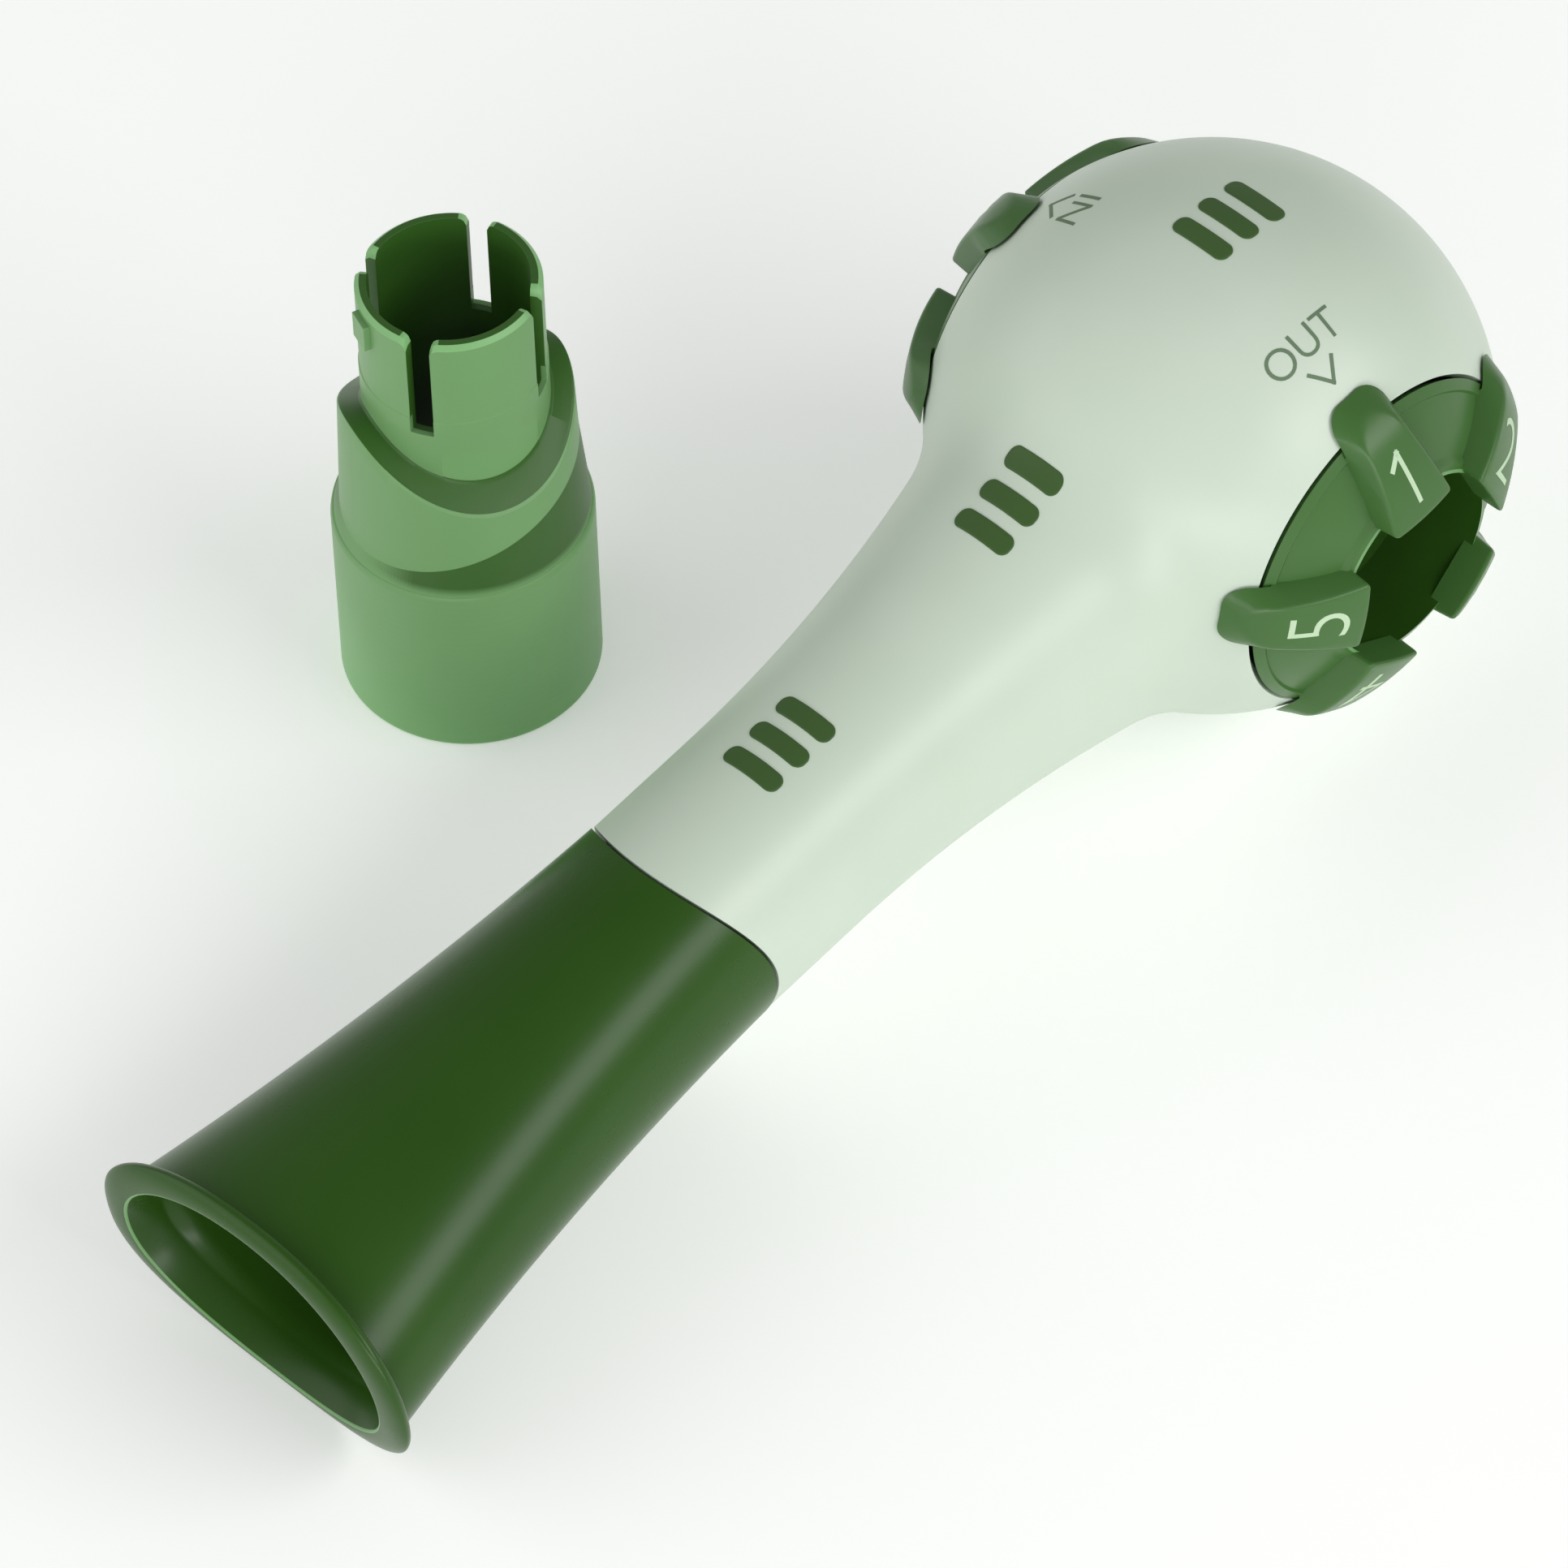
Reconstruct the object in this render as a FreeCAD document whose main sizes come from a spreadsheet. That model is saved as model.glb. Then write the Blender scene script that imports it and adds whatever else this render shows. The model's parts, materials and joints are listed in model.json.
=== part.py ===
import FreeCAD, Part
import math
import os
import re
import Sketcher

# A hand-held breathing trainer. A round head carries a graded dial on each side, one for breathing
# out and one for breathing in, and its hollow neck takes a flared mouthpiece. A separate adapter
# with a wide round socket stands beside it and fits the neck in the mouthpiece's place.
#
# Each piece of the trainer is drawn in the trainer's own axes and then laid on its back:
# the head's centre is the origin, the mouth end points along -Y, the front face is +Z,
# the breathing-out dial is on +X and the breathing-in dial on -X.

os.makedirs("parts", exist_ok=True)
doc = FreeCAD.newDocument("breathing_trainer")

SIZES = [
    ("head_radius", 26.3, "outside of the round head"),
    ("shell_wall", 2.0, "wall of the two half shells"),
    ("neck_radius", 11.15, "outside of the neck where the mouthpiece meets it"),
    ("neck_length", 71.55, "head centre to the middle of the wavy joint"),
    ("neck_straight", 59.0, "head centre to where the neck starts to widen"),
    ("neck_sweep", 150.0, "radius of the neck's long outward curve"),
    ("shoulder_sweep", 14.0, "radius of the curve from the neck into the head"),
    ("wave_height", 4.1, "lowest to highest point of the wavy joint"),
    ("joint_gap", 0.3, "gap left along the wavy joint"),
    ("fit_gap", 0.05, "radial clearance of pieces that fit each other"),
    ("move_gap", 0.3, "clearance between pieces that pass each other"),
    ("sleeve_radius", 9.75, "outside of the neck sleeve"),
    ("sleeve_inner_end", 50.0, "head centre to the inner end of the neck sleeve"),
    ("sleeve_flange_radius", 10.5, "flange that the shells trap"),
    ("sleeve_flange_station", 52.0, "head centre to the middle of that flange"),
    ("sleeve_flange_thickness", 1.6, "thickness of that flange"),
    ("spigot_radius", 8.5, "outside of the slotted spigots"),
    ("spigot_wall", 1.1, "wall of the slotted spigots"),
    ("spigot_reach", 19.0, "middle of the wavy joint to the spigot's end"),
    ("slot_width", 2.1, "slots between the spring fingers"),
    ("slot_depth", 11.8, "length of those slots"),
    ("key_width", 2.4, "key on one finger"),
    ("key_height", 0.55, "key above the finger"),
    ("key_length", 3.0, "key along the finger"),
    ("key_back", 1.0, "end of the finger to its key"),
    ("mouth_length", 125.4, "head centre to the tips of the mouth rim"),
    ("mouth_saddle", 1.5, "how far the rim's middle lies behind its tips"),
    ("rim_half_width", 18.5, "mouth rim, half its width"),
    ("rim_half_height", 12.2, "mouth rim, half its height"),
    ("rim_side_radius", 11.0, "roundness of the rim's two ends"),
    ("rim_thickness", 1.7, "mouth rim, front to back"),
    ("waist_station", 92.0, "head centre to the middle section of the mouthpiece"),
    ("waist_half_width", 12.8, "that section, half its width"),
    ("waist_half_height", 10.9, "that section, half its height"),
    ("mouth_half_width", 18.3, "flare of the mouthpiece past the rim, half its width"),
    ("mouth_half_height", 10.8, "that flare, half its height"),
    ("bore_half_width", 15.0, "bore of the mouthpiece past the rim, half its width"),
    ("bore_half_height", 9.5, "that bore, half its height"),
    ("mouth_wall", 1.7, "wall of the mouthpiece"),
    ("throat_length", 8.0, "cone between the spigot's bore and the mouthpiece's"),
    ("lip_edge", 0.7, "rounding of the mouth rim's edges"),
    ("dial_edge_radius", 16.75, "outer edge of a dial on the head's round"),
    ("dial_gap", 0.3, "gap between a dial and the shells"),
    ("cap_thickness", 1.8, "thickness of a dial's domed cap"),
    ("cup_radius", 9.4, "round hole in a dial"),
    ("cup_wall", 1.2, "wall of the cup behind that hole"),
    ("tab_height", 2.1, "thumb tabs above the cap"),
    ("tab_reach", 19.4, "dial axis to the outer end of a tab"),
    ("tab_root_width", 8.1, "tab width at the hole"),
    ("tab_end_width", 6.3, "tab width at its outer end"),
    ("tab_corner", 2.2, "rounding of a tab's outer corners"),
    ("tab_lip", 0.5, "how far a tab looks into the hole"),
    ("tab_lip_depth", 1.0, "depth of that lip"),
    ("exhale_steps", 5, "settings of the breathing-out dial"),
    ("inhale_steps", 6, "settings of the breathing-in dial"),
    ("orifice_circle", 6.0, "dial axis to the middle of each graded hole"),
    ("orifice_widest", 2.4, "radius of the first graded hole"),
    ("orifice_drop", 0.35, "how much smaller each next hole is"),
    ("plate_station", 12.4, "head centre to the inner face of a port plate"),
    ("plate_thickness", 1.6, "thickness of a port plate"),
    ("plate_radius", 18.3, "outside of a port plate"),
    ("port_radius", 2.8, "the single port in each port plate"),
    ("gasket_thickness", 0.9, "soft ring between a port plate and its dial"),
    ("gasket_radius", 10.2, "outside of that ring"),
    ("floor_thickness", 1.5, "dial floor with the graded holes"),
    ("rib_bore", 17.2, "inside of the ribs that hold a port plate"),
    ("rib_width", 1.5, "thickness of those ribs"),
    ("skirt_station", 6.0, "head centre to the inner end of a plate's skirt"),
    ("skirt_radius", 12.0, "outside of that skirt"),
    ("skirt_wall", 1.2, "wall of that skirt at the valve seat"),
    ("seat_recess", 0.2, "how far a valve seat lies inside its skirt"),
    ("seat_thickness", 1.4, "thickness of a valve seat"),
    ("seat_step", 0.8, "step that a valve seat rests against"),
    ("window_count", 6, "windows in a valve seat"),
    ("window_circle", 6.0, "seat axis to the middle of each window"),
    ("window_radius", 2.2, "radius of each window"),
    ("flap_radius", 9.2, "silicone flap"),
    ("flap_thickness", 0.8, "thickness of the flap"),
    ("flap_lift", 1.5, "how far a flap lifts"),
    ("stem_radius", 1.1, "stem of the flap"),
    ("bulb_radius", 1.9, "bulb that holds the stem in the seat"),
    ("bulb_length", 1.0, "length of the bulb"),
    ("pin_radius", 1.45, "centre pin of a dial"),
    ("pin_head_radius", 2.6, "head of the pin inside the cup"),
    ("pin_head_height", 1.1, "height of that head"),
    ("pin_tail_radius", 1.9, "clinched end behind the port plate"),
    ("pin_tail_length", 1.2, "length of that end"),
    ("bar_length", 6.4, "grip bar, across the body"),
    ("bar_width", 2.1, "grip bar, along the body"),
    ("bar_pitch", 3.4, "one grip bar to the next"),
    ("bar_depth", 0.5, "how deep a bar is let into the shell"),
    ("bar_proud", 0.12, "how far a bar stands out of the shell"),
    ("lower_bars", -56.0, "place of the bars near the mouthpiece"),
    ("middle_bars", -25.4, "place of the bars where the neck widens"),
    ("upper_bars", 5.0, "place of the bars on the head"),
    ("adapter_offset_x", -47.8, "head centre to the adapter's axis, across"),
    ("adapter_offset_y", -49.1, "head centre to the adapter's axis, along"),
    ("adapter_turn", -20.0, "turn of the adapter about its own axis, degrees"),
    ("collar_radius", 12.15, "outside of the adapter's socket end"),
    ("collar_height", 20.4, "height of that end"),
    ("collar_edge", 0.45, "rounding of its lower edge"),
    ("collar_shoulder", 0.8, "rounding between its side and the sloping shoulder"),
    ("socket_radius", 11.0, "22 mm socket for a breathing circuit"),
    ("socket_depth", 16.0, "depth of that socket"),
    ("socket_cone", 3.5, "length of the cone above the socket"),
    ("ramp_base", 1.2, "height of the sloping shoulder at its low side"),
    ("ramp_rise", 8.2, "how much higher its other side is"),
    ("ramp_turn", -87.0, "direction of the low side, degrees"),
    ("stub_foot_radius", 11.3, "adapter's middle where it leaves the collar"),
    ("stub_top_radius", 10.75, "adapter's middle at the wavy joint"),
    ("stub_joint", 33.2, "height of the middle of the adapter's wavy joint"),
    ("stub_wave_height", 6.6, "lowest to highest point of that joint"),
    ("adapter_height", 50.2, "whole height of the adapter"),
    ("finger_bevel", 0.5, "bevel at the top of the adapter's fingers"),
    ("inhale_index", -10.0, "turn of the breathing-in dial and its port, degrees"),
]

sheet = doc.addObject("Spreadsheet::Sheet", "Sizes")
for row, (alias, value, meaning) in enumerate(SIZES, start=1):
    sheet.set(f"A{row}", alias)
    sheet.set(f"B{row}", str(value))
    sheet.set(f"C{row}", meaning)
    sheet.setAlias(f"B{row}", alias)
doc.recompute()


ALIAS = re.compile(r"\b(" + "|".join(alias for alias, value, meaning in SIZES) + r")\b")


def names(text):
    """Writes a formula in plain size names as an expression on the sheet."""
    return ALIAS.sub(r"Sizes.\1", text)


def value_of(text):
    """The number that a formula in size names gives."""
    return float(sheet.evalExpression(names(text)))


# Formulas that several pieces share
NECK_TIP = "(neck_length + wave_height / 2)"
JOINT_ARC = "((neck_radius ^ 2 + wave_height ^ 2) / (2 * wave_height))"
SWEEP_CENTRE = "(neck_radius + neck_sweep)"
SLEEVE_MOUTH = "(neck_length - wave_height / 2)"
SPIGOT_END = "(neck_length - spigot_reach)"
FLOOR_STATION = "(plate_station + plate_thickness + gasket_thickness)"
CUP_FLOOR = "(plate_station + plate_thickness + gasket_thickness + floor_thickness)"
CUP_OUTSIDE = "(cup_radius + cup_wall)"
OPENING_RADIUS = "(dial_edge_radius + dial_gap)"
TAB_SPHERE = "(head_radius + tab_height)"
TAB_CLEAR_SPHERE = "(head_radius + move_gap)"
SEAT_STATION = "(skirt_station + seat_recess)"
SEAT_TOP = "(skirt_station + seat_recess + seat_thickness)"
SEAT_BORE = "(skirt_radius - skirt_wall)"
SADDLE_ARC = "((rim_half_width ^ 2 + mouth_saddle ^ 2) / (2 * mouth_saddle))"
SPARE = 2.0          # how far a cutting shape runs past what it cuts
ON_FACE = 0.01       # how near a point lies to a face to count as on it
SLOT_TURNS = (45, 135, 225, 315)
QUARTER_TURN = 90.0
HALF_TURN = 180.0
FULL_TURN = 360.0


def on_sphere(radius, offset):
    """Distance along the axis of the circle that lies `offset` off the axis on a sphere."""
    return f"sqrt({radius} ^ 2 - {offset} ^ 2)"


class Corner:
    """A corner of a closed outline. A missing coordinate is left to the other conditions."""

    def __init__(self, x=None, y=None, near=None, smooth=False):
        self.x, self.y, self.smooth = x, y, smooth
        guess = near or (0.0, 0.0)
        self.spot = FreeCAD.Vector(
            guess[0] if x is None else value_of(x),
            guess[1] if y is None else value_of(y), 0)


class Bend:
    """An arc in place of a straight side. `turn` is +1 where its centre lies to the left."""

    def __init__(self, radius, turn, centre=None, keep_radius=True):
        self.radius, self.turn, self.centre, self.keep_radius = radius, turn, centre, keep_radius


def hold(sketch, kind, geometry, point, formula):
    """Ties one coordinate of a sketch point to a formula in size names."""
    if formula == "0":
        axis = -2 if kind == "DistanceX" else -1
        sketch.addConstraint(Sketcher.Constraint("PointOnObject", geometry, point, axis))
        return
    rule = sketch.addConstraint(Sketcher.Constraint(kind, -1, 1, geometry, point, value_of(formula)))
    sketch.setExpression(f"Constraints[{rule}]", names(formula))


def arc_between(start, end, radius, turn):
    """The shorter arc from start to end, with its centre to the left (+1) or the right (-1)."""
    chord = end - start
    side = FreeCAD.Vector(-chord.y, chord.x, 0).normalize() * turn
    reach = math.sqrt(max(radius ** 2 - (chord.Length / 2) ** 2, 0.0))
    centre = (start + end) * 0.5 + side * reach
    first, last = (start, end) if turn > 0 else (end, start)
    angles = [math.atan2(p.y - centre.y, p.x - centre.x) for p in (first, last)]
    circle = Part.Circle(centre, FreeCAD.Vector(0, 0, 1), radius)
    return Part.ArcOfCircle(circle, angles[0], angles[1])


def outline(sketch, corners, bends=None):
    """Draws a closed outline of lines and arcs whose corners are tied to the sheet."""
    bends = bends or {}
    count = len(corners)
    first = sketch.GeometryCount
    for index, corner in enumerate(corners):
        after = corners[(index + 1) % count]
        bend = bends.get(index)
        if bend is None:
            sketch.addGeometry(Part.LineSegment(corner.spot, after.spot), False)
        else:
            radius = value_of(bend.radius)
            sketch.addGeometry(arc_between(corner.spot, after.spot, radius, bend.turn), False)

    def ends(index):
        backwards = index in bends and bends[index].turn < 0
        return (2, 1) if backwards else (1, 2)

    for index, corner in enumerate(corners):
        before = (index - 1) % count
        kind = "Tangent" if corner.smooth else "Coincident"
        sketch.addConstraint(Sketcher.Constraint(
            kind, first + before, ends(before)[1], first + index, ends(index)[0]))
        if corner.x is not None:
            hold(sketch, "DistanceX", first + index, ends(index)[0], corner.x)
        if corner.y is not None:
            hold(sketch, "DistanceY", first + index, ends(index)[0], corner.y)
        bend = bends.get(index)
        if bend is None:
            continue
        if bend.centre is not None:
            hold(sketch, "DistanceX", first + index, 3, bend.centre[0])
            hold(sketch, "DistanceY", first + index, 3, bend.centre[1])
        if bend.keep_radius:
            rule = sketch.addConstraint(
                Sketcher.Constraint("Radius", first + index, value_of(bend.radius)))
            sketch.setExpression(f"Constraints[{rule}]", names(bend.radius))


def ring_of_circles(sketch, count, circle, radius_of, start=0.0):
    """Draws evenly spaced circles about the sketch origin; the first lies on its vertical axis."""
    for index in range(count):
        angle = math.radians(start + FULL_TURN * index / count)
        across, up = f"{circle} * {math.sin(angle):.9f}", f"{circle} * {math.cos(angle):.9f}"
        centre = FreeCAD.Vector(value_of(across), value_of(up), 0)
        radius = radius_of(index)
        item = sketch.addGeometry(
            Part.Circle(centre, FreeCAD.Vector(0, 0, 1), value_of(radius)), False)
        hold(sketch, "DistanceX", item, 3, across)
        hold(sketch, "DistanceY", item, 3, up)
        rule = sketch.addConstraint(Sketcher.Constraint("Radius", item, value_of(radius)))
        sketch.setExpression(f"Constraints[{rule}]", names(radius))


def origin_feature(body, role):
    return [item for item in body.Origin.OriginFeatures if item.Role == role][0]


def new_body(label):
    body = doc.addObject("PartDesign::Body", label)
    body.Label = label
    return body


def sketch_in(body, role, name, offset=None):
    """A sketch on one of the body's own planes, pushed off it by a formula if one is given."""
    sketch = body.newObject("Sketcher::SketchObject", name)
    sketch.AttachmentSupport = [(origin_feature(body, role), "")]
    sketch.MapMode = "FlatFace"
    if offset is not None:
        sketch.setExpression("AttachmentOffset.Base.z", names(offset))
    return sketch


def free_sketch(name):
    """A sketch that belongs to no body, drawn on the XY plane."""
    return doc.addObject("Sketcher::SketchObject", name)


def turned(body, kind, sketch, axis, angle=FULL_TURN, reverse=False):
    """Revolution or Groove of a sketch about an origin axis."""
    feature = body.newObject(f"PartDesign::{kind}", f"{sketch.Name}_{kind.lower()}")
    feature.Profile = sketch
    feature.ReferenceAxis = (origin_feature(body, axis), [""])
    feature.Angle = angle
    feature.Reversed = reverse
    body.Tip = feature
    return feature


def cut_through(body, sketch):
    """Pocket through everything on both sides of the sketch."""
    feature = body.newObject("PartDesign::Pocket", f"{sketch.Name}_pocket")
    feature.Profile = sketch
    feature.Type = "ThroughAll"
    feature.SideType = "Symmetric"
    body.Tip = feature
    return feature


def boolean(kind, label, base, tool):
    item = doc.addObject(f"Part::{kind}", label)
    item.Base = base
    item.Tool = tool
    return item


def matching_edges(shape, test):
    """Numbers of the edges whose ends and middle all pass the test."""
    found = []
    for number, edge in enumerate(shape.Edges, start=1):
        if edge.Length < 1e-6:
            continue
        low, high = edge.ParameterRange
        points = [edge.valueAt(low + (high - low) * part) for part in (0.0, 0.5, 1.0)]
        if all(test(point) for point in points):
            found.append(number)
    return found


# The outside of the head and neck

def body_guesses(inset):
    """Where the neck's long curve meets the shoulder curve, and that one the round head."""
    shoulder = value_of("shoulder_sweep") + inset
    head = value_of("head_radius") - inset
    sweep = value_of("neck_sweep") + inset
    centre = FreeCAD.Vector(value_of(SWEEP_CENTRE), -value_of("neck_straight"), 0)
    near, far = head + shoulder, sweep - shoulder
    along = (near ** 2 - far ** 2 + centre.Length ** 2) / (2 * centre.Length)
    aside = math.sqrt(near ** 2 - along ** 2)
    line = FreeCAD.Vector(centre).normalize()
    middle = line * along + FreeCAD.Vector(line.y, -line.x, 0) * aside
    on_neck = centre + (middle - centre).normalize() * sweep
    on_head = FreeCAD.Vector(middle).normalize() * head
    return (on_neck.x, on_neck.y), (on_head.x, on_head.y)


def outer_profile(sketch, inset="0"):
    """Half section of the head and neck, from the neck's end to the top of the head."""
    amount = value_of(inset) if inset != "0" else 0.0
    on_neck, on_head = body_guesses(amount)
    wall = f"neck_radius - {inset}"
    head = f"head_radius - {inset}"
    outline(sketch, [
        Corner("0", f"-{NECK_TIP}"),
        Corner(wall, f"-{NECK_TIP}"),
        Corner(wall, "-neck_straight"),
        Corner(near=on_neck, smooth=True),
        Corner(near=on_head, smooth=True),
        Corner(x="0", near=(0, value_of(head))),
    ], {
        2: Bend(f"neck_sweep + {inset}", -1, (SWEEP_CENTRE, "-neck_straight"), keep_radius=False),
        3: Bend(f"shoulder_sweep + {inset}", -1),
        4: Bend(head, 1, ("0", "0")),
    })


def cavity_profile(sketch):
    """Half section of the hollow: sleeve seat, flange groove, passage and round chamber."""
    on_neck, on_head = body_guesses(value_of("shell_wall"))
    seat = "sleeve_radius + fit_gap"
    groove = "sleeve_flange_radius + fit_gap"
    half = "(sleeve_flange_thickness / 2 + fit_gap)"
    sweep = "neck_sweep + shell_wall"
    rise = value_of("neck_straight - sleeve_inner_end")
    start = value_of(SWEEP_CENTRE) - math.sqrt(value_of(sweep) ** 2 - rise ** 2)
    outline(sketch, [
        Corner("0", f"-({NECK_TIP} + {SPARE})"),
        Corner(seat, f"-({NECK_TIP} + {SPARE})"),
        Corner(seat, f"-(sleeve_flange_station + {half})"),
        Corner(groove, f"-(sleeve_flange_station + {half})"),
        Corner(groove, f"-(sleeve_flange_station - {half})"),
        Corner(seat, f"-(sleeve_flange_station - {half})"),
        Corner(seat, "-sleeve_inner_end"),
        Corner(y="-sleeve_inner_end", near=(start, 0)),
        Corner(near=on_neck, smooth=True),
        Corner(near=on_head, smooth=True),
        Corner(x="0", near=(0, value_of("head_radius - shell_wall"))),
    ], {
        7: Bend(sweep, -1, (SWEEP_CENTRE, "-neck_straight")),
        8: Bend("shoulder_sweep + shell_wall", -1),
        9: Bend("head_radius - shell_wall", 1, ("0", "0")),
    })


def rib_profile(sketch, side):
    """Two rings that grip the edge of a port plate, reaching into the shell's wall."""
    middle = "(head_radius - shell_wall / 2)"
    inner = "(plate_station - fit_gap)"
    outer = "(plate_station + plate_thickness + fit_gap)"
    for low, high in ((f"({inner} - rib_width)", inner), (outer, f"({outer} + rib_width)")):
        outline(sketch, [
            Corner(f"{side} * {low}", "rib_bore"),
            Corner(f"{side} * {high}", "rib_bore"),
            Corner(f"{side} * {high}", on_sphere(middle, high)),
            Corner(f"{side} * {low}", on_sphere(middle, low)),
        ])


def shell_moulding(label, front):
    """One half of the head and neck; front is the half with +Z."""
    body = new_body(label)
    outside = sketch_in(body, "XY_Plane", f"{label}_outside")
    outer_profile(outside)
    turned(body, "Revolution", outside, "Y_Axis", HALF_TURN, reverse=front)
    hollow = sketch_in(body, "XY_Plane", f"{label}_hollow")
    cavity_profile(hollow)
    turned(body, "Groove", hollow, "Y_Axis")
    for side, word in ((1, "exhale"), (-1, "inhale")):
        ribs = sketch_in(body, "XY_Plane", f"{label}_{word}_ribs")
        rib_profile(ribs, side)
        turned(body, "Revolution", ribs, "X_Axis", HALF_TURN, reverse=not front)
        opening = sketch_in(body, "XY_Plane", f"{label}_{word}_opening")
        edge = f"{side} * {on_sphere('head_radius', OPENING_RADIUS)}"
        outline(opening, [
            Corner("0", "0"),
            Corner(f"{SPARE} * {edge}", f"{SPARE} * {OPENING_RADIUS}"),
            Corner(f"{SPARE} * {edge}", "0"),
        ])
        turned(body, "Groove", opening, "X_Axis")
    wave = sketch_in(body, "XY_Plane", f"{label}_wave")
    wide = f"(neck_radius + {JOINT_ARC}) / 2"
    height = f"-{NECK_TIP} + {JOINT_ARC} - sqrt({JOINT_ARC} ^ 2 - ({wide}) ^ 2)"
    low = f"-({NECK_TIP} + {SPARE})"
    outline(wave, [
        Corner(f"-({wide})", height),
        Corner(wide, height),
        Corner(wide, low),
        Corner(f"-({wide})", low),
    ], {0: Bend(JOINT_ARC, 1)})
    cut_through(body, wave)
    return body


# Grip bars, let into the front shell

def bar_block(name, station, grow):
    """Three upright blocks with round ends, one behind the other along the body."""
    sketch = free_sketch(f"{name}_plan")
    half = f"(bar_width / 2 + {grow})"
    straight = "((bar_length - bar_width) / 2)"
    for step in (-1, 0, 1):
        place = f"({station} + {step} * bar_pitch)"
        far = value_of(f"{place} + {half}")
        outline(sketch, [
            Corner(f"-{straight}", f"{place} - {half}"),
            Corner(straight, f"{place} - {half}"),
            Corner(x=straight, near=(0, far)),
            Corner(x=f"-{straight}", near=(0, far)),
        ], {
            1: Bend(half, 1, (straight, place), keep_radius=False),
            3: Bend(half, 1, (f"-{straight}", place), keep_radius=False),
        })
    block = doc.addObject("Part::Extrusion", f"{name}_block")
    block.Base = sketch
    block.DirMode = "Custom"
    block.Dir = FreeCAD.Vector(0, 0, 1)
    block.Solid = True
    block.setExpression("LengthFwd", names(f"head_radius + {SPARE}"))
    return block


def skin(name, inset):
    """The whole head and neck as one solid, smaller or larger by an inset."""
    sketch = free_sketch(f"{name}_profile")
    outer_profile(sketch, inset)
    solid = doc.addObject("Part::Revolution", name)
    solid.Source = sketch
    solid.Axis = FreeCAD.Vector(0, 1, 0)
    solid.Angle = FULL_TURN
    solid.Solid = True
    return solid


def shells_and_bars():
    front = shell_moulding("front_moulding", True)
    rear = shell_moulding("rear_shell", False)
    bed = skin("bar_bed", "bar_depth")
    crown = skin("bar_crown", "(-1 * bar_proud)")
    rooms, bars = [], []
    for word in ("lower", "middle", "upper"):
        rooms.append(bar_block(f"{word}_room", f"{word}_bars", "fit_gap"))
        raw = boolean("Cut", f"{word}_bar_raw", bar_block(f"{word}_bar", f"{word}_bars", "0"), bed)
        bars.append(boolean("Common", f"grip_bars_{word}", raw, crown))
    let_in = boolean("Cut", "bar_recesses", fuse_all("bar_rooms", rooms), bed)
    return [boolean("Cut", "front_shell", front, let_in), rear] + bars


# The sleeve in the neck

def neck_sleeve():
    body = new_body("neck_sleeve")
    sketch = sketch_in(body, "XY_Plane", "sleeve_section")
    bore = "spigot_radius + fit_gap"
    half = "sleeve_flange_thickness / 2"
    outline(sketch, [
        Corner(bore, f"-{SLEEVE_MOUTH}"),
        Corner("sleeve_radius", f"-{SLEEVE_MOUTH}"),
        Corner("sleeve_radius", f"-(sleeve_flange_station + {half})"),
        Corner("sleeve_flange_radius", f"-(sleeve_flange_station + {half})"),
        Corner("sleeve_flange_radius", f"-(sleeve_flange_station - {half})"),
        Corner("sleeve_radius", f"-(sleeve_flange_station - {half})"),
        Corner("sleeve_radius", "-sleeve_inner_end"),
        Corner(bore, "-sleeve_inner_end"),
    ])
    turned(body, "Revolution", sketch, "Y_Axis")
    # Keyway for the finger's key, open at both ends, on the breathing-out side
    keyway = sketch_in(body, "XZ_Plane", "sleeve_keyway")
    half_key = "(key_width / 2 + move_gap)"
    depth = "(spigot_radius + key_height + move_gap)"
    outline(keyway, [
        Corner("spigot_radius / 2", f"-{half_key}"),
        Corner(depth, f"-{half_key}"),
        Corner(depth, half_key),
        Corner("spigot_radius / 2", half_key),
    ])
    cut_through(body, keyway)
    return body


# The mouthpiece

def oval(name, width, height, station):
    """An ellipse across the body, `station` away from the head's centre."""
    item = doc.addObject("Part::Ellipse", name)
    item.setExpression("MajorRadius", names(width))
    item.setExpression("MinorRadius", names(height))
    item.Placement = FreeCAD.Placement(
        FreeCAD.Vector(0, 0, 0), FreeCAD.Rotation(FreeCAD.Vector(1, 0, 0), QUARTER_TURN))
    item.setExpression("Placement.Base.y", names(f"-({station})"))
    return item


def loft(name, sections):
    item = doc.addObject("Part::Loft", name)
    item.Sections = sections
    item.Solid = True
    item.Ruled = False
    return item


def rod(name, radius, centre, height, axis="z"):
    """A cylinder on a formula radius: upright through `centre` on Y, or lying along Y."""
    item = doc.addObject("Part::Cylinder", name)
    item.setExpression("Radius", names(radius))
    item.setExpression("Height", names(height))
    if axis == "z":
        item.setExpression("Placement.Base.y", names(centre))
        item.setExpression("Placement.Base.z", names(f"-({height}) / 2"))
    else:
        item.Placement = FreeCAD.Placement(
            FreeCAD.Vector(0, 0, 0), FreeCAD.Rotation(FreeCAD.Vector(1, 0, 0), -QUARTER_TURN))
        item.setExpression("Placement.Base.y", names(centre))
    return item


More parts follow.
